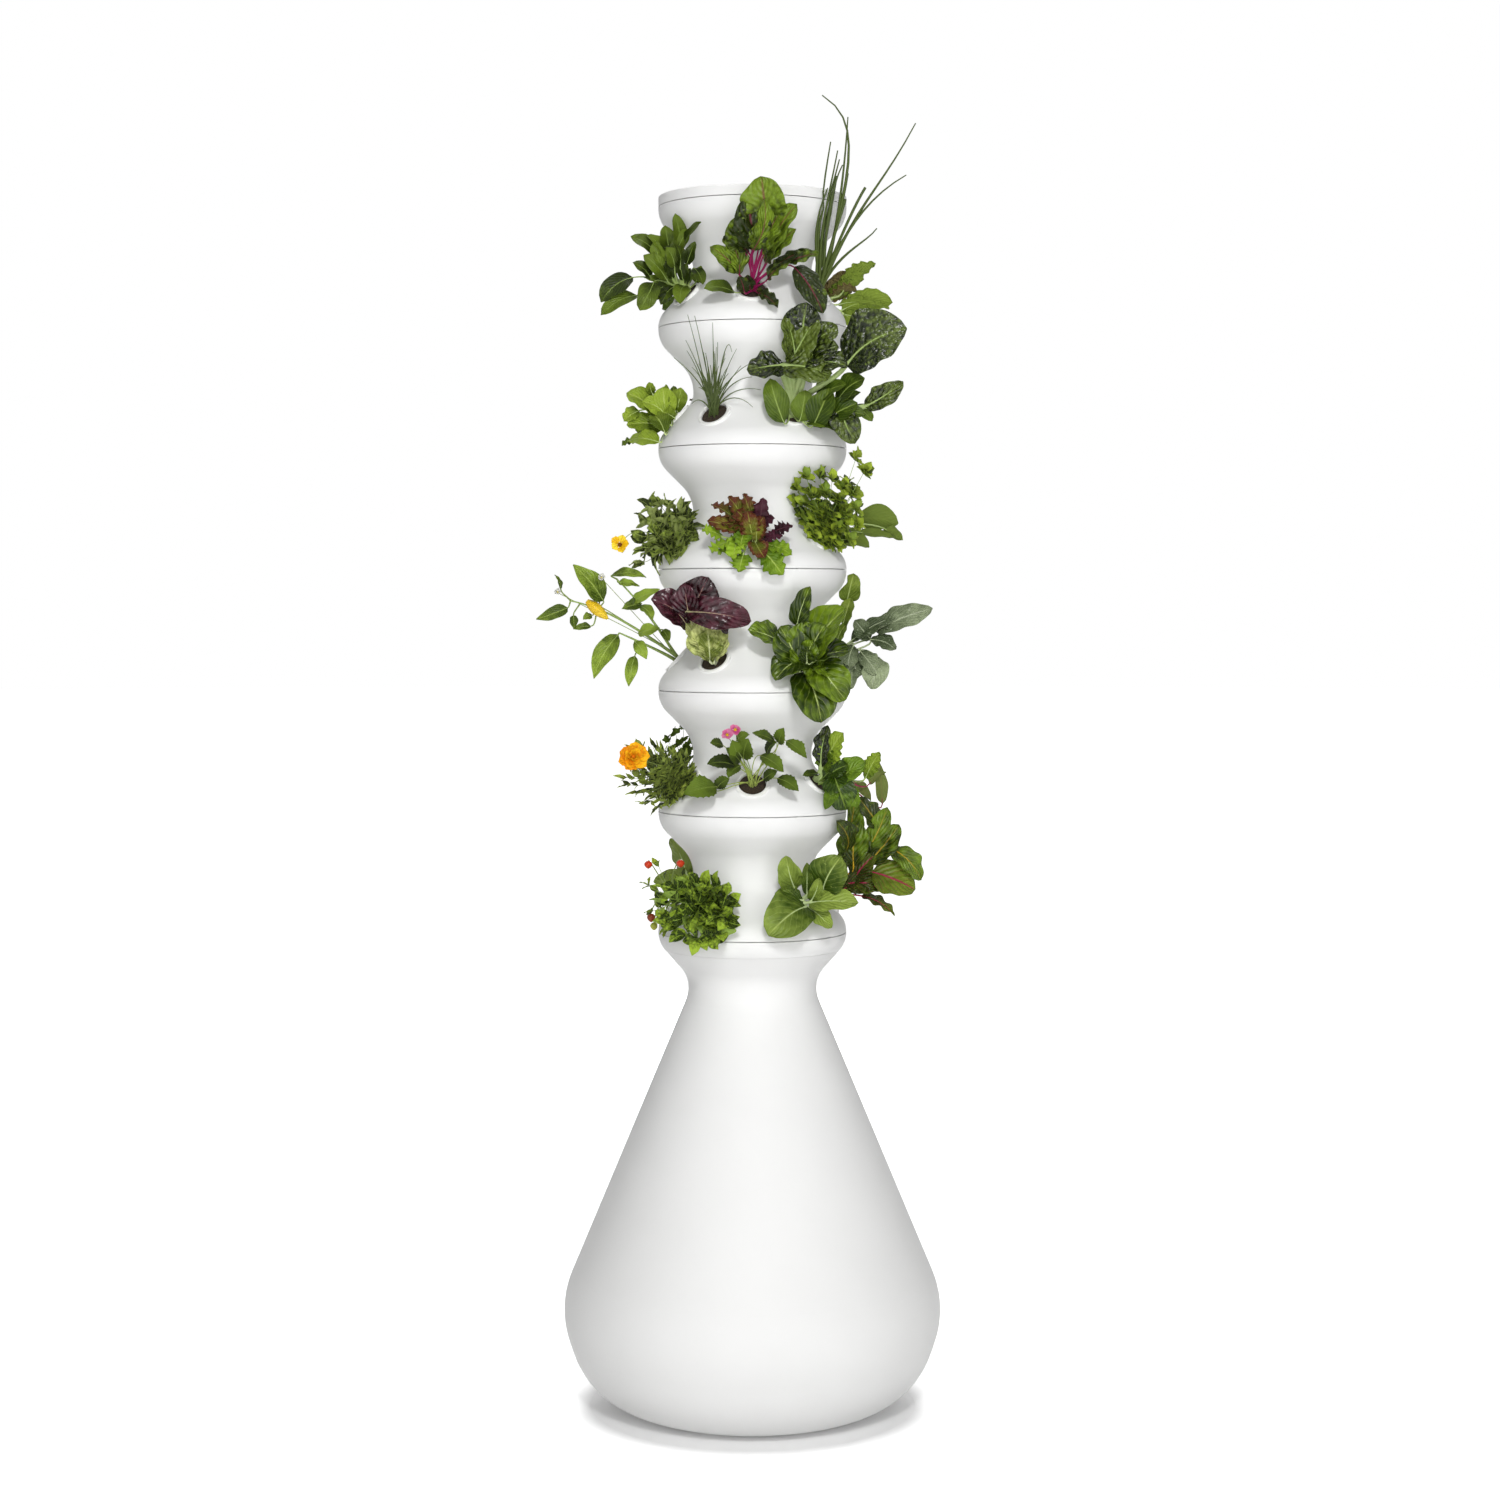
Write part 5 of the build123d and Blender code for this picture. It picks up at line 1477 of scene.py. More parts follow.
        return {
            "1a": LeafyPlant(cls.CHARD, chard, 4),
            "1b": Tuft(cls.CHIVE, chives, 2.8, cut=(4, 9, 11)),
            "1c": LeafyPlant(cls.GREEN_FRILL, red_green, 5),
            "1f": LeafyPlant(cls.SPINACH, spinach, 12),
            "2a": LeafyPlant(cls.TATSOI, tatsoi),
            "2b": LeafyPlant(cls.GREENS, side, 5),
            "2e": LeafyPlant(cls.BUTTER_LIGHT, butter, 7),
            "2f": Tuft(cls.GRASS, grass, 1.2, 32, (34.0, 40.0, 80.0)),
        }

    @classmethod
    def middle(cls) -> dict[str, Plant]:
        """Draw the plants of the two middle rings.

        Returns:
            The plants by port.
        """
        oak = (
            Leaf((-10, 7), (-45, 15), 19, 7), Leaf((-14, 12), (-41, 31), 20, 7), Leaf((-8, 12), (-24, 39), 20, 8),
            Leaf((-2, 12), (-9, 42), 19, 7), Leaf((0, -4), (-5, 25), 21, 12), Leaf((4, -6), (11, 19), 20, 13),
            Leaf((-4, 8), (-32, 12), 20, 10), Leaf((-2, 8), (-16, 26), 20, 11),
            Leaf((8, 6), (11, 38), 20, 7, kind=cls.OAK_PURPLE), Leaf((20, 4), (40, 10), 14, 7, kind=cls.OAK_PURPLE),
            Leaf((12, -3), (30, 0), 15, 9, kind=cls.OAK_PURPLE), Leaf((6, 4), (22, 18), 18, 9, kind=cls.OAK_PURPLE),
            Leaf((-31, 0), (-50, 5), 17, 9, kind=cls.OAK_GREEN),
            Leaf((-22, -5), (-40, -17), 20, 11, kind=cls.OAK_GREEN),
            Leaf((-13, -4), (-18, -23), 20, 12, kind=cls.OAK_GREEN),
            Leaf((-9, -18), (-13, -36), 21, 10, kind=cls.OAK_GREEN),
            Leaf((-8, 4), (-12, -12), 19, 14, kind=cls.OAK_GREEN),
            Leaf((8, -13), (30, -39), 28, 12, kind=cls.OAK_GREEN),
            Leaf((12, -8), (39, -19), 20, 11, kind=cls.OAK_GREEN), Leaf((3, -6), (12, -22), 20, 14),
        )
        broad = (
            Leaf((43, 22), (87, 17), 30, 4), Leaf((72, 12), (92, 0), 14, 6), Leaf((30, 10), (56, -8), 18, 4),
            Leaf((24, 14), (40, 36), 18, 2),
        )
        red = (
            Leaf((-26, 33), (-62, 61), 42, 9), Leaf((-20, 47), (-5, 83), 42, 8), Leaf((-24, 43), (-28, 77), 30, 12),
            Leaf((-27, 49), (37, 40), 34, 15, bend=0.25), Leaf((-18, 42), (14, 28), 28, 17, bend=0.3),
            Leaf((-3, -2), (-12, 40), 42, 10, kind=cls.LETTUCE_HEART),
            Leaf((-2, -2), (-28, 37), 30, 7, kind=cls.LETTUCE_HEART),
            Leaf((0, -2), (9, 35), 26, 7, kind=cls.LETTUCE_HEART),
            Leaf((-4, 0), (-6, 31), 32, 15, kind=cls.LETTUCE_HEART),
        )
        butterhead = (
            Leaf((-13, 20), (-43, 31), 32, 9), Leaf((6, 34), (19, 74), 22, 7), Leaf((9, -12), (-11, 34), 40, 12),
            Leaf((13, -2), (-16, -19), 36, 14, bend=0.2), Leaf((14, 8), (13, 39), 42, 11),
            Leaf((22, 6), (54, 52), 56, 10), Leaf((23, 0), (59, 10), 40, 12),
            Leaf((26, -2), (54, -39), 42, 13, bend=0.2), Leaf((18, 4), (34, 36), 36, 13),
            Leaf((14, -12), (30, -61), 54, 14, bend=0.2), Leaf((14, -6), (3, 15), 26, 17),
            Leaf((20, -4), (38, 11), 26, 17), Leaf((18, -4), (27, -21), 26, 18, bend=0.25),
            Leaf((16, 0), (22, 20), 24, 18), Leaf((22, -6), (44, -15), 28, 16), Leaf((12, -4), (0, -4), 22, 17),
            Leaf((16, -2), (16, 12), 16, 20), Leaf((18, -4), (28, 2), 16, 20),
        )
        kale = (
            Leaf((49, 29), (108, 52), 26, 8), Leaf((44, 21), (28, 40), 20, 8),
            Leaf((20, 59), (27, 88), 24, 6, kind=cls.KALE_LIGHT), Leaf((16, 36), (24, 63), 18, 6, kind=cls.KALE_LIGHT),
            Leaf((45, 20), (70, 10), 17, 8), Leaf((27, 14), (21, -11), 20, 10),
            Leaf((48, 3), (44, -30), 27, 9, bend=0.2), Leaf((25, -8), (23, -31), 12, 10),
            Leaf((34, 8), (52, -16), 20, 12),
        )
        pepper = (
            Leaf((-76, 60), (-107, 97), 32, 10), Leaf((-113, 53), (-145, 41), 19, 8),
            Leaf((-89, 34), (-107, 31), 11, 9), Leaf((-107, 45), (-106, 31), 11, 10), Leaf((-68, 86), (-32, 84), 15, 6),
            Leaf((-61, 79), (-39, 75), 13, 8), Leaf((-47, 59), (-18, 72), 19, 8), Leaf((-37, 57), (-57, 52), 19, 10),
            Leaf((-38, 55), (-25, 40), 19, 11), Leaf((-61, 25), (-86, -20), 28, 9, bend=0.2),
            Leaf((-44, 3), (-50, -28), 17, 9, bend=0.2), Leaf((-40, 27), (-18, 32), 21, 10),
            Leaf((-44, 18), (-32, 0), 17, 10), Leaf((-15, 30), (-8, 19), 13, 8), Leaf((-80, 62), (-84, 83), 13, 8),
            Leaf((-120, 72), (-126, 87), 7, 8), Leaf((-88, 45), (-97, 41), 11, 9),
        )
        woody = (
            ((-20, 16), (-45, 34), (-71, 52), (-110, 60)), ((-14, 24), (-30, 50), (-62, 82)),
            ((-22, 10), (-44, 20), (-60, 27)),
        )
        herb = (
            (-36, 28), (-26, 32), (-14, 30), (-4, 24), (2, 14), (-40, 14), (-40, 0), (-38, -14), (-44, -26), (-26, -14),
            (-16, -10), (-6, -4), (-10, 8), (-24, 8), (0, 4),
        )
        cilantro = (
            (-22, 50), (-12, 60), (2, 62), (14, 58), (24, 50), (34, 42), (38, 28), (38, 12), (30, -2), (18, -8),
            (6, -4), (-6, 4), (-16, 20), (-22, 36), (-8, 44), (6, 46), (20, 38), (28, 24), (12, 26), (-4, 28), (38, 80),
            (46, 66), (18, 10), (4, 12),
        )
        return {
            "3a": LeafyPlant(cls.OAK_RED, oak, 6),
            "3b": HerbBush(cls.CILANTRO, cilantro, 21.0, 17.0, 3, True, 0.4, 66.0, 18.0, lobes=3),
            "3c": LeafyPlant(cls.GREENS, broad, 4),
            "3f": FloweringPlant(
                (HerbBush(cls.SAGE, herb, 31.0, 20.0, 3, start=0.45, dense=2, taper=0.2),),
                (FlowerStem(cls.VIOLA, (-67, -8), 14, 0.8, (-56, 8)),),
            ),
            "4a": LeafyPlant(cls.BUTTERHEAD, butterhead, 5),
            "4b": LeafyPlant(cls.KALE, kale, 5),
            "4e": FloweringPlant(
                (LeafyPlant(cls.PEPPER, pepper, 0, woody),),
                (FlowerStem(cls.WHITE, (-123, 69)), FlowerStem(cls.WHITE, (-78, 84))),
                (Fruit(cls.GOLD_SKIN, (-93, 60), (-71, 41), 10.0, 14, 4),),
            ),
            "4f": LeafyPlant(cls.RED_LETTUCE, red),
        }

    @classmethod
    def lower(cls) -> dict[str, Plant]:
        """Draw the plants of the two lowest rings.

        Returns:
            The plants by port.
        """
        strawberry = (
            Leaf((-36, -1), (-68, -7), 27, 9), Leaf((-36, -3), (-23, 7), 15, 9), Leaf((-18, 20), (-45, 22), 20, 8),
            Leaf((-12, 24), (-26, 38), 18, 9), Leaf((-9, 27), (-4, 47), 25, 8), Leaf((-12, 20), (-24, 8), 18, 10),
            Leaf((-29, 40), (-42, 43), 13, 6), Leaf((-16, 45), (-3, 51), 12, 6),
            Leaf((8, 30), (31, 14), 19, 10, bend=0.2), Leaf((22, 45), (0, 53), 14, 6), Leaf((26, 42), (31, 58), 16, 6),
            Leaf((34, 45), (54, 28), 19, 8), Leaf((25, 7), (46, -5), 16, 8), Leaf((11, 6), (25, 15), 13, 8),
            Leaf((14, 32), (24, 44), 16, 8), Leaf((-14, 30), (-20, 46), 16, 9),
        )
        basil = (
            Leaf((3, 16), (10, 58), 20, 5, kind=cls.TATSOI), Leaf((10, 18), (25, 51), 26, 8, kind=cls.GREEN_FRILL),
            Leaf((48, 5), (62, 31), 18, 6, kind=cls.GREEN_FRILL), Leaf((16, 7), (28, -27), 32, 12, bend=0.25),
            Leaf((12, -8), (6, -25), 15, 11, bend=0.2), Leaf((23, 3), (47, 22), 26, 10),
            Leaf((0, 9), (-16, 8), 10, 8, kind=cls.SPINACH), Leaf((12, 9), (30, 18), 18, 12),
            Leaf((30, -2), (40, -24), 16, 10, bend=0.2),
        )
        sorrel = (Leaf((70, -29), (67, 14), 17, 2), Leaf((56, -8), (74, 4), 14, 2), Leaf((40, -6), (58, -26), 15, 2))
        feather = (
            (-54, 34), (-44, 38), (-30, 36), (-14, 30), (-2, 24), (4, 10), (-54, 18), (-58, -2), (-42, -20), (-28, -24),
            (-10, -16), (2, -6), (-36, 18), (-22, 8), (-40, 0), (-10, 14), (-46, 26), (-38, 28), (-22, 32), (-8, 24),
            (-48, 10), (-50, -10), (-34, -12), (-18, -20), (-20, 20), (-30, 2), (-12, 0), (-28, 26), (-62, 6),
            (-40, -8),
        )
        parsley = ((-22, 38), (-14, 46), (-6, 52), (2, 48), (4, 38), (-10, 34), (-18, 26), (-2, 30))
        bok = (
            Leaf((15, 2), (-23, -23), 48, 13, bend=0.2), Leaf((4, 20), (-5, 54), 25, 7),
            Leaf((16, 15), (16, 47), 13, 7), Leaf((32, 20), (50, 54), 40, 8), Leaf((18, 6), (67, 8), 28, 11),
            Leaf((20, 8), (28, 32), 14, 12), Leaf((12, 8), (-16, 16), 20, 10),
            Leaf((20, 0), (40, -18), 20, 11, bend=0.2),
        )
        rainbow = (
            Leaf((16, 45), (8, 86), 27, 6), Leaf((27, 36), (32, 83), 33, 8), Leaf((54, 76), (32, 107), 24, 5),
            Leaf((24, 60), (30, 108), 26, 4), Leaf((44, 40), (74, 78), 30, 6),
            Leaf((66, 54), (96, 22), 25, 8, bend=0.25), Leaf((40, 50), (62, 96), 24, 5),
            Leaf((46, 30), (90, 12), 42, 10, kind=cls.RUBY_CHARD), Leaf((35, 5), (69, -15), 14, 8, kind=cls.RUBY_CHARD),
            Leaf((32, 13), (57, 13), 16, 9, kind=cls.RUBY_CHARD), Leaf((26, 18), (50, 48), 26, 5, kind=cls.RUBY_CHARD),
        )
        mint = (
            (-46, 16), (-38, 20), (-28, 20), (-18, 24), (-8, 24), (4, 20), (12, 14), (14, 2), (14, -10), (8, -22),
            (-2, -27), (-15, -28), (-28, -25), (-38, -18), (-45, -8), (-48, 5), (-36, 10), (-20, 10), (0, 8), (-30, -8),
            (-8, -12), (6, -4),
        )
        vine = ((-20, 36), (-30, 16), (-8, 20), (-26, -10), (-10, -24), (6, 24))
        return {
            "5a": FloweringPlant(
                (LeafyPlant(cls.STRAWBERRY, strawberry),),
                (FlowerStem(cls.PINK, (-25, 51)), FlowerStem(cls.PINK, (-17, 56), 9)),
            ),
            "5b": LeafyPlant(cls.BASIL, basil, 7),
            "5c": LeafyPlant(cls.SORREL, sorrel),
            "5e": HerbBush(cls.PARSLEY, parsley, 12.0, 11.0, 3, True, 0.5, 62.0, 8.0, lobes=3),
            "5f": FloweringPlant(
                (HerbBush(cls.FEATHER, feather, 22.0, 12.0, 7, True, 0.2, 56.0, 18.0, dense=2),),
                (FlowerStem(cls.ORANGE, (-53, 27), 22, 1.6),),
            ),
            "6a": LeafyPlant(cls.BOK_CHOY, bok, 2),
            "6b": LeafyPlant(cls.GOLD_CHARD, rainbow, 4),
            "6e": FloweringPlant(
                (HerbBush(cls.CILANTRO, vine, 18.0, 11.0, 3),), (),
                (
                    Fruit(cls.RED_SKIN, (-30, 41), (-30, 33), 6.8, 10), Fruit(cls.RED_SKIN, (3, 42), (3, 34), 6.8, 8),
                    Fruit(cls.BROWN_SKIN, (-27, -13), (-27, -22), 7.0, 10),
                    Fruit(cls.GREEN_SKIN, (-24, -22), (-24, -30), 6.4, 12),
                ),
            ),
            "6f": HerbBush(cls.MINT, mint, 33.0, 23.0, 3, False, 0.35, 58.0, 24.0, taper=0.3),
        }

    @classmethod
    def plan(cls) -> dict[str, tuple[Plant, float]]:
        """What grows in every port, and the side its drawing is seen from in radians.

        Returns:
            For each port its plant and facing; ports that the photograph hides repeat its plants, turned to the back,
            or hold young ones.
        """
        drawn = cls.drawn()
        behind = {"1d": "4f", "2c": "5a", "3d": "4a", "4c": "2f", "5d": "1a", "6c": "6f", "6d": "6a"}
        young = (
            Leaf((-4, 8), (-24, 28), 20, 6), Leaf((2, 10), (4, 38), 20, 5), Leaf((6, 8), (28, 26), 20, 6),
            Leaf((-6, 0), (-28, -2), 18, 8, bend=0.2), Leaf((6, 0), (28, -6), 18, 8, bend=0.2),
            Leaf((0, -2), (2, -22), 18, 10, bend=0.2), Leaf((-2, 6), (-8, 24), 16, 10),
        )
        plan = {port: (plant, 0.0) for port, plant in drawn.items()}
        plan.update({port: (drawn[like], pi) for port, like in behind.items()})
        plan["1e"] = (LeafyPlant(cls.BASIL, young, 4), pi)
        plan["2d"] = (LeafyPlant(cls.RED_FRILL, young, 4), pi)
        plan["3e"] = (LeafyPlant(cls.GREEN_FRILL, young, 4), pi)
        plan["4d"] = (LeafyPlant(cls.KALE_LIGHT, young, 4), pi)
        return plan


@dataclass(frozen=True)
class NetCup:
    """A lift-out net cup with its coir plug; sizes in millimetres on the port's axis, from its seat plane."""

    port: Port
    # Thin injection moulding: clean white with a soft shine, and under it dark, dull and threadlike coir.
    plastic: MouldedPlastic = MouldedPlastic("Net cup plastic, white", "#EFEFEC", 0.42, "#E6E6E2", grain_mm=1.2)
    coir: CoirFibre = CoirFibre("Coir plug, matted fibre", "#241C12", 0.95)
    flange_radius: float = 27.0
    flange: float = 2.4
    mouth: float = 23.6
    tip: float = 17.5
    depth: float = 52.0
    wall: float = 1.6
    floor: float = 1.8
    drain: float = 6.0
    slots: int = 8
    slot_width: float = 4.0
    slot_margin: float = 8.0
    plug_top: float = Port.PLUG_TOP / MM
    plug_gap: float = 0.4
    crumble: float = 0.55

    def outer(self, height: float) -> float:
        """The basket's outside radius at a height below the seat plane."""
        return self.mouth + (self.mouth - self.tip) * height / self.depth

    def bore(self, height: float) -> float:
        """The basket's inside radius at a height."""
        rise = (height + self.depth - self.floor) / (self.depth + self.flange - self.floor)
        return self.tip - self.wall + (self.mouth - self.tip) * rise

    def places(self, radii: Array, turns: Array, heights: Array) -> Array:
        """Find places round the port's axis.

        Args:
            radii: distances from the axis.
            turns: directions round it, in radians.
            heights: heights over the seat plane.

        Returns:
            The places, in metres.
        """
        axis = self.port.axis
        across = np.array([cos(self.port.azimuth), sin(self.port.azimuth), 0.0])
        above = np.cross(axis, across)
        flat = np.cos(turns)[..., None] * across + np.sin(turns)[..., None] * above
        return self.port.seat + (radii[..., None] * flat + heights[..., None] * axis) * MM

    def ring(self, mesh: Foliage, profile: list[tuple[float, float]], steps: int = 48) -> None:
        """Turn a closed outline about the axis.

        Args:
            mesh: the mesh in the making.
            profile: the outline's (radius, height) pairs, counter-clockwise as drawn.
            steps: how many points go round.
        """
        turns = 2 * pi * np.arange(steps) / steps
        radii, heights = np.array(profile).T
        points = self.places(radii[:, None] + 0 * turns, turns + 0 * radii[:, None], heights[:, None] + 0 * turns)
        number = np.arange(len(profile) * steps).reshape(len(profile), steps)
        after, beside = np.roll(number, -1, 0), np.roll(number, -1, 1)
        faces = np.stack([number, beside, np.roll(beside, -1, 0), after], -1).reshape(-1, 4).tolist()
        self.put(mesh, points, faces, self.plastic)

    def put(self, mesh: Foliage, points: Array, faces: list[list[int]], finish: Finish) -> None:
        """Add points and faces with plain painting values."""
        flat = points.reshape(-1, 3)
        mesh.add(flat, faces, finish, np.zeros_like(flat), np.zeros(len(flat)))

    def basket(self, mesh: Foliage) -> None:
        """Build the tapered wall with its upright slots as one closed shell.

        Args:
            mesh: the mesh in the making.
        """
        half = degrees(self.slot_width / 2 / self.outer(-self.depth / 2))
        step = 360 / self.slots
        offsets = [-half, half] + [half + (step - 2 * half) * k / 4 for k in (1, 2, 3)]
        turns = np.radians([step * s + o for s in range(self.slots) for o in offsets])
        heights = np.array([0.0, -self.slot_margin, -self.depth / 2, self.slot_margin - self.depth, -self.depth])
        grid_t, grid_h = np.meshgrid(turns, heights)
        outside = np.vectorize(self.outer)(grid_h)
        inside = outside - self.wall
        rows, columns = grid_t.shape
        kept = np.ones((rows - 1, columns), bool)
        kept[1:3, ::5] = False
        number = np.arange(rows * columns).reshape(rows, columns)
        faces: list[list[int]] = []
        shift = rows * columns
        for i in range(rows - 1):
            for j in range(columns):
                if not kept[i, j]:
                    continue
                k = (j + 1) % columns
                a, b, c, d = number[i, j], number[i + 1, j], number[i + 1, k], number[i, k]
                faces += [[a, b, c, d], [d + shift, c + shift, b + shift, a + shift]]
                around = (
                    (i > 0 and kept[i - 1, j], a, d), (i < rows - 2 and kept[i + 1, j], c, b),
                    (kept[i, j - 1], b, a), (kept[i, k], d, c),
                )
                faces += [[p, q, q + shift, p + shift] for closed, p, q in around if not closed]
        points = np.stack([self.places(outside, grid_t, grid_h), self.places(inside, grid_t, grid_h)])
        self.put(mesh, points, [[int(v) for v in face] for face in faces], self.plastic)

    def plug(self, mesh: Foliage) -> None:
        """Build the coir plug: a tapered body with a rough, crumbly top.

        Args:
            mesh: the mesh in the making.
        """
        steps, crumbs = 40, 7
        turns = 2 * pi * np.arange(steps) / steps
        low, high = self.floor - self.depth, self.plug_top
        top = self.bore(high) - self.plug_gap
        radii = np.concatenate([[self.bore(low) - self.plug_gap, top], top * np.linspace(0.94, 0.08, crumbs)])
        heights = np.concatenate([[low, high - 1.2], np.full(crumbs, high)])[:, None] + 0 * turns
        rough = mesh.random.normal(0, self.crumble, heights.shape)
        rough[:2] = 0.0
        points = self.places(radii[:, None] + 0 * turns, turns + 0 * radii[:, None], heights + rough)
        number = np.arange(len(radii) * steps).reshape(len(radii), steps)
        beside = np.roll(number, -1, 1)
        faces = np.stack([number[:-1], beside[:-1], beside[1:], number[1:]], -1).reshape(-1, 4).tolist()
        faces += [number[0, ::-1].tolist(), number[-1].tolist()]
        self.put(mesh, points, faces, self.coir)

    def build(self) -> bpy.types.Object:
        """Build flange, basket, floor and plug as one piece.

        Returns:
            The piece, riding its own cup's body.
        """
        mesh = Foliage(self.port)
        lip = self.flange_radius
        inner = self.bore(self.flange)
        self.ring(mesh, [
            (self.mouth - self.wall, 0.0), (lip, 0.0), (lip, 1.5), (lip - 0.3, 2.1), (lip - 0.9, self.flange),
            (inner + 0.7, self.flange), (inner + 0.15, self.flange - 0.5),
        ])
        self.basket(mesh)
        bottom = self.bore(self.floor - self.depth) + 0.2
        self.ring(mesh, [
            (self.drain, -self.depth), (bottom, -self.depth), (bottom, self.floor - self.depth),
            (self.drain, self.floor - self.depth),
        ])
        self.plug(mesh)
        piece = mesh.build(f"net_cup_{self.port.name}", False)
        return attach(piece, f"cup_{self.port.name}")


@dataclass(frozen=True)
class PlantedPort:
    """A port's net cup and its plant, which lift out of the ring together."""

    port: Port
    plant: Plant
    facing: float

    def build(self) -> None:
        """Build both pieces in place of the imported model's plain planted cup."""
        cup = NetCup(self.port).build()
        foliage = Foliage(self.port)
        self.plant.grow(foliage, Drawing(self.port, self.facing))
        crown = foliage.build(f"plant_{self.port.name}")
        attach(crown, f"cup_{self.port.name}")
        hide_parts(f"planted_cup_{self.port.name}")
        for piece in (cup, crown):
            log.info("%s: %d faces", piece.name, len(piece.data.polygons))


@dataclass(frozen=True)
class Tower:
    """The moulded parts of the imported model, dressed slot by slot."""

    finishes: dict[str, Finish] = field(default_factory=lambda: {
        # A soft satin skin that spreads highlights wide and mirrors nothing.
        "white_plastic": MouldedPlastic("Rotomoulded polyethylene, satin white", "#EFEFEE", 0.5, "#EAEAE9", sheen=0.12),
        # Just off white and a little shinier, as thin mouldings are.
        "inner_plastic": MouldedPlastic("Injection moulded plastic, white", "#E9E9E6", 0.45, "#E1E1DD"),
        # Smooth, waxy and faintly ivory.
        "glide_acetal": MouldedPlastic("Acetal glide ring, natural", "#DCDAD0", 0.3, "#D3D1C6", grain_mm=0.8),
        # Black with an even, half-dull skin.
        "pump_plastic": MouldedPlastic("Pump housing plastic, black", "#1C1D1E", 0.5, "#232425"),
        # Dark, stony grey with hardly a shine.
        "rotor_magnet": MouldedPlastic("Ferrite magnet, dark grey", "#3A3A3C", 0.45, "#444446", grain_mm=0.6),
        # Ground and hard: a narrow, bright highlight on ivory.
        "shaft_ceramic": MouldedPlastic("Alumina shaft, ivory", "#EFEBDD", 0.15, "#EAE5D5", grain_mm=0.3),
        # Dull and dark, without sharp highlights.
        "soft_rubber": MouldedPlastic("Silicone rubber, dark grey", "#2A2B2C", 0.7, "#323334", grain_mm=0.8),
    })

    def dress(self) -> None:
        """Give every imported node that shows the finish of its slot."""
        for row in frame["record"]["subparts"]:
            finish = self.finishes.get(row["material_slot"])
            if finish is None:
                continue
            node = frame["nodes"][row["node"]]
            node.data.materials.clear()
            node.data.materials.append(finish.material())
            log.info("%s: %s", node.name, finish.name)


@dataclass(frozen=True)
class SoftBox:
    """One soft lamp of the studio, in metres and watts."""

    name: str
    place: tuple[float, float, float]
    aim: tuple[float, float, float]
    size: tuple[float, float]
    watts: float

    def build(self) -> None:
        """Hang the lamp and turn it to its aim."""
        light = bpy.data.lights.new(self.name, "AREA")
        light.shape = "RECTANGLE"
        light.size, light.size_y = self.size
        light.energy = self.watts
        lamp = bpy.data.objects.new(self.name, light)
        lamp.location = self.place
        lamp.rotation_euler = (Vector(self.aim) - Vector(self.place)).to_track_quat("-Z", "Y").to_euler()
        bpy.context.scene.collection.objects.link(lamp)


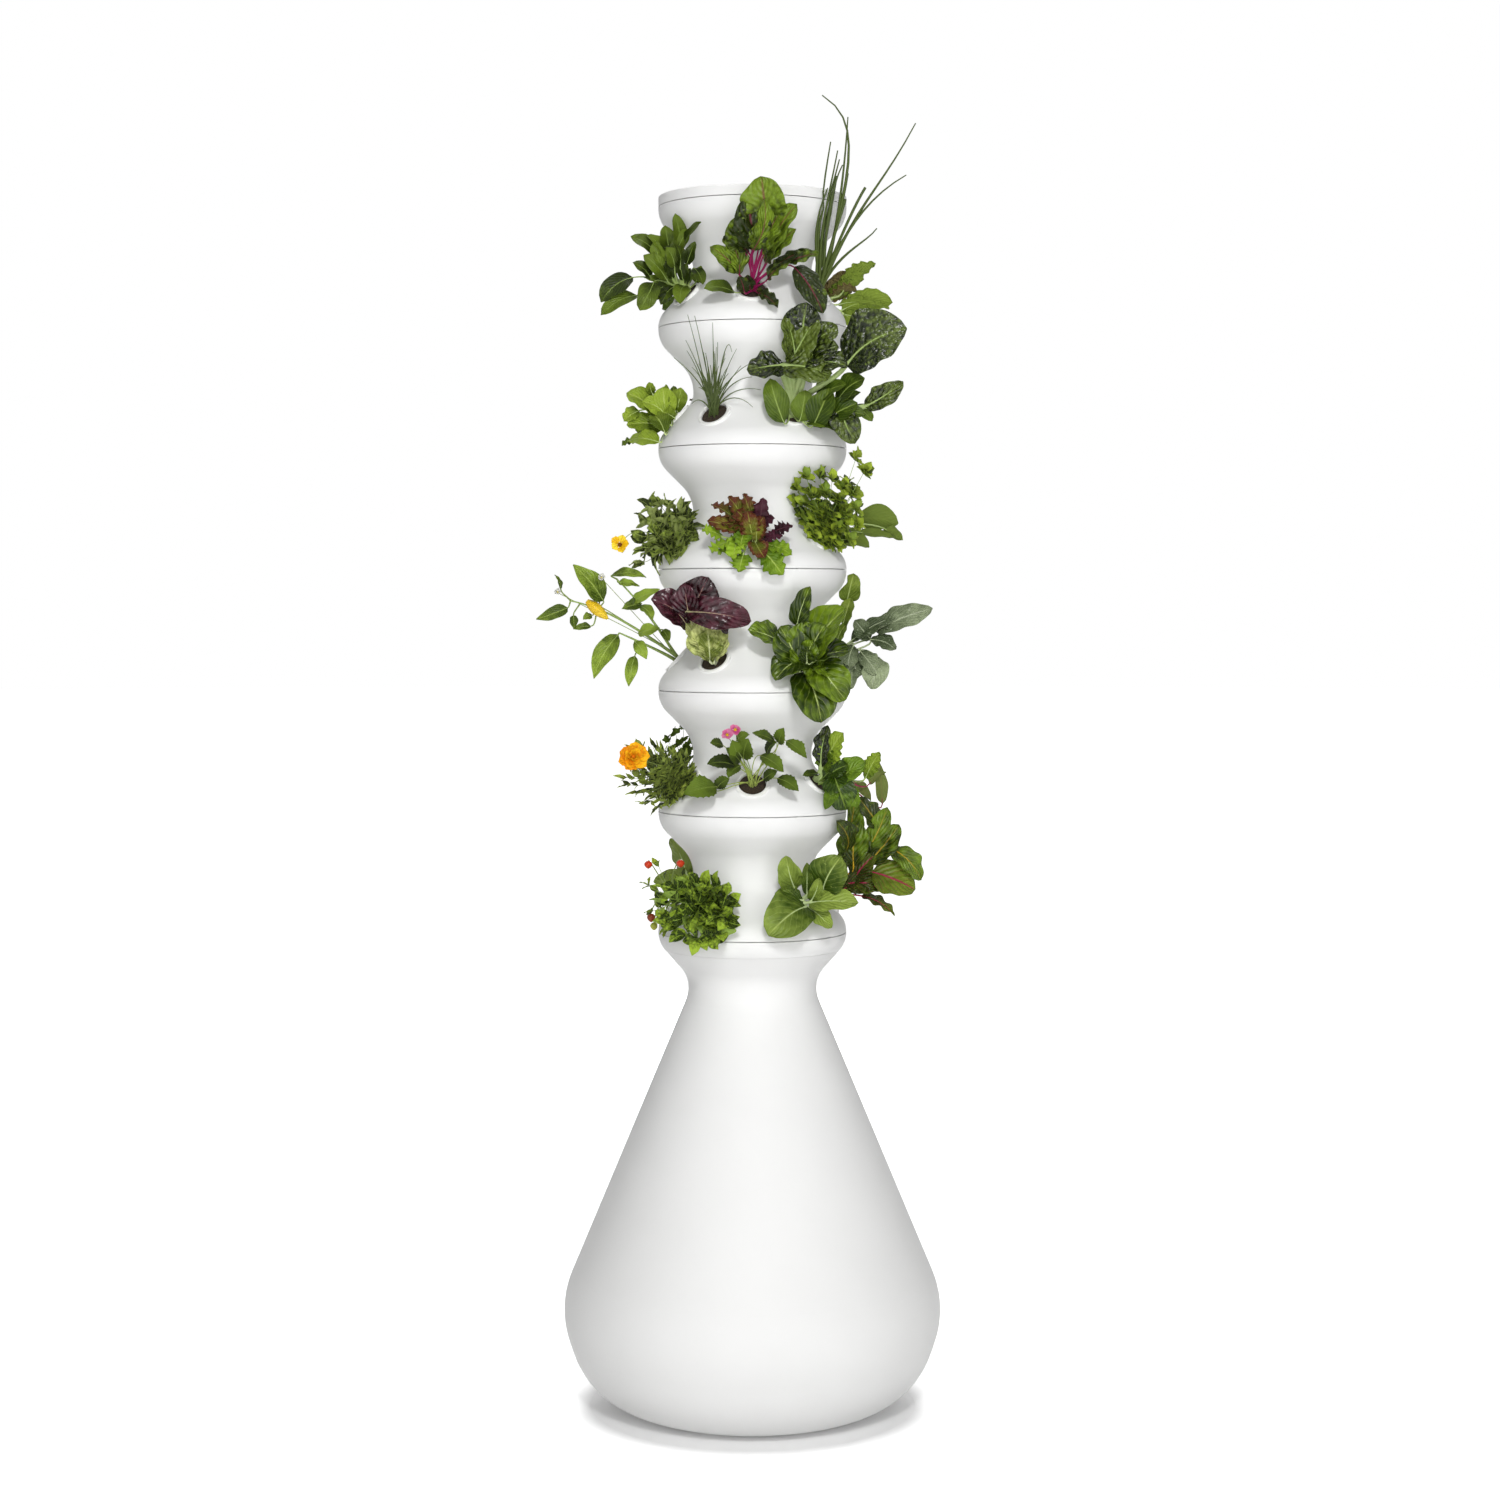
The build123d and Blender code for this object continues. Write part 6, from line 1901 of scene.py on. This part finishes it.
@dataclass(frozen=True)
class Studio:
    """A white floor and surroundings, soft lamps in front, behind and over the lid, and the photograph's camera."""

    camera_place: tuple[float, float, float] = (0.0, -4.465, 1.289)
    lens_mm: float = 66.1
    sensor_mm: float = 36.0
    shift: tuple[float, float] = (-0.0016, -0.0953)
    floor_radius: float = 40.0
    floor_sides: int = 96
    # The floor's glow drops to this level round the tower's foot and rises to full between these radii: a painted
    # contact shadow.
    painted_shadow_glow: float = 0.1
    painted_shadow_reach: tuple[float, float] = (0.262, 0.32)
    ambient: float = 0.19
    lamps: tuple[SoftBox, ...] = (
        SoftBox("key_softbox", (0.2, -4.15, 3.0), (0.0, 0.0, 1.2), (0.5, 0.5), 86.0),
        SoftBox("lid_softbox", (0.0, 0.0, 3.1), (0.0, 0.0, 1.95), (0.3, 0.3), 7.0),
        SoftBox("front_softbox", (0.3, -4.7, 1.2), (0.0, 0.0, 1.0), (5.4, 2.2), 101.0),
        SoftBox("left_softbox", (-3.6, -2.6, 1.8), (0.0, 0.0, 1.0), (2.0, 2.4), 1.5),
        SoftBox("right_softbox", (3.6, -2.6, 1.8), (0.0, 0.0, 1.0), (2.0, 2.4), 6.0),
        SoftBox("back_softbox", (0.0, 4.7, 1.8), (0.0, 0.0, 1.0), (0.6, 2.4), 130.0),
    )

    def shown_white(self, tree: bpy.types.NodeTree) -> bpy.types.NodeSocket:
        """Tell rays that show the background from those that only light the tower.

        Args:
            tree: the nodes that ask.

        Returns:
            One for rays that see it straight, in a gloss or through glass, else zero.
        """
        path = add_node(tree, "LightPath").outputs
        seen = add_node(tree, "Math", {0: path["Is Camera Ray"], 1: path["Is Glossy Ray"]}, operation="MAXIMUM")
        return add_node(
            tree, "Math", {0: seen.outputs[0], 1: path["Is Transmission Ray"]}, operation="MAXIMUM"
        ).outputs[0]

    def build_world(self) -> None:
        """Make the surroundings: white where seen, a dim even light elsewhere."""
        world = bpy.data.worlds.new("studio_white")
        world.use_nodes = True
        tree = world.node_tree
        ground = next(n for n in tree.nodes if n.type == "BACKGROUND")
        ground.inputs["Color"].default_value = (1.0, 1.0, 1.0, 1.0)
        strength = add_node(tree, "MapRange", {"Value": self.shown_white(tree), "To Min": self.ambient})
        tree.links.new(strength.outputs["Result"], ground.inputs["Strength"])
        bpy.context.scene.world = world

    def build_floor(self) -> None:
        """Lay the round white floor, which glows a little so that only a soft shadow shows on it; the glow dims round
        the tower's foot, a painted contact shadow.
        """
        turns = [2 * pi * i / self.floor_sides for i in range(self.floor_sides)]
        mesh = bpy.data.meshes.new("studio_floor")
        rim = [(self.floor_radius * cos(t), self.floor_radius * sin(t), 0.0) for t in turns]
        mesh.from_pydata(rim, [], [list(range(self.floor_sides))])
        floor = bpy.data.objects.new("studio_floor", mesh)
        bpy.context.scene.collection.objects.link(floor)
        # Coated paper without any gloss: the eye sees plain white and one soft shadow, deepened round the tower's foot
        # by painted shadow in the glow.
        paper = bpy.data.materials.new("Studio paper, white")
        paper.use_nodes = True
        tree = paper.node_tree
        shader = next(n for n in tree.nodes if n.type == "BSDF_PRINCIPLED")
        shader.inputs["Base Color"].default_value = linear("#F0F0F0")
        shader.inputs["Roughness"].default_value = 0.9
        shader.inputs["Specular IOR Level"].default_value = 0.0
        shader.inputs["Emission Color"].default_value = (1.0, 1.0, 1.0, 1.0)
        place = add_node(tree, "TexCoord").outputs["Object"]
        away = add_node(tree, "VectorMath", {0: place}, operation="LENGTH").outputs["Value"]
        # The glow is dimmed round the tower's foot: a painted contact shadow.
        near, far = self.painted_shadow_reach
        level = add_node(tree, "MapRange", {"Value": away, "From Min": near, "From Max": far, "To Min": self.painted_shadow_glow})
        glow = add_node(tree, "Math", {0: self.shown_white(tree), 1: level.outputs["Result"]}, operation="MULTIPLY")
        tree.links.new(glow.outputs[0], shader.inputs["Emission Strength"])
        mesh.materials.append(paper)

    def build_camera(self) -> None:
        """Set up the level camera of the photograph."""
        data = bpy.data.cameras.new("photo_camera")
        data.sensor_width = self.sensor_mm
        data.lens = self.lens_mm
        data.shift_x, data.shift_y = self.shift
        camera = bpy.data.objects.new("photo_camera", data)
        camera.location = self.camera_place
        camera.rotation_euler = (radians(90), 0.0, 0.0)
        bpy.context.scene.collection.objects.link(camera)
        bpy.context.scene.camera = camera

    def build(self) -> None:
        """Build surroundings, floor, camera and lamps."""
        self.build_world()
        self.build_floor()
        self.build_camera()
        for lamp in self.lamps:
            lamp.build()
        bpy.context.scene.view_settings.view_transform = "Standard"


def main() -> None:
    """Dress the tower, plant every port and light the studio."""
    logging.basicConfig(level=logging.INFO, format="%(name)s %(message)s")
    Tower().dress()
    plan = Garden.plan()
    for ring in range(1, STACK.RINGS + 1):
        for index in range(len(LETTERS)):
            port = Port(ring, index)
            PlantedPort(port, *plan[port.name]).build()
    Studio().build()


if __name__ == "__main__":
    main()
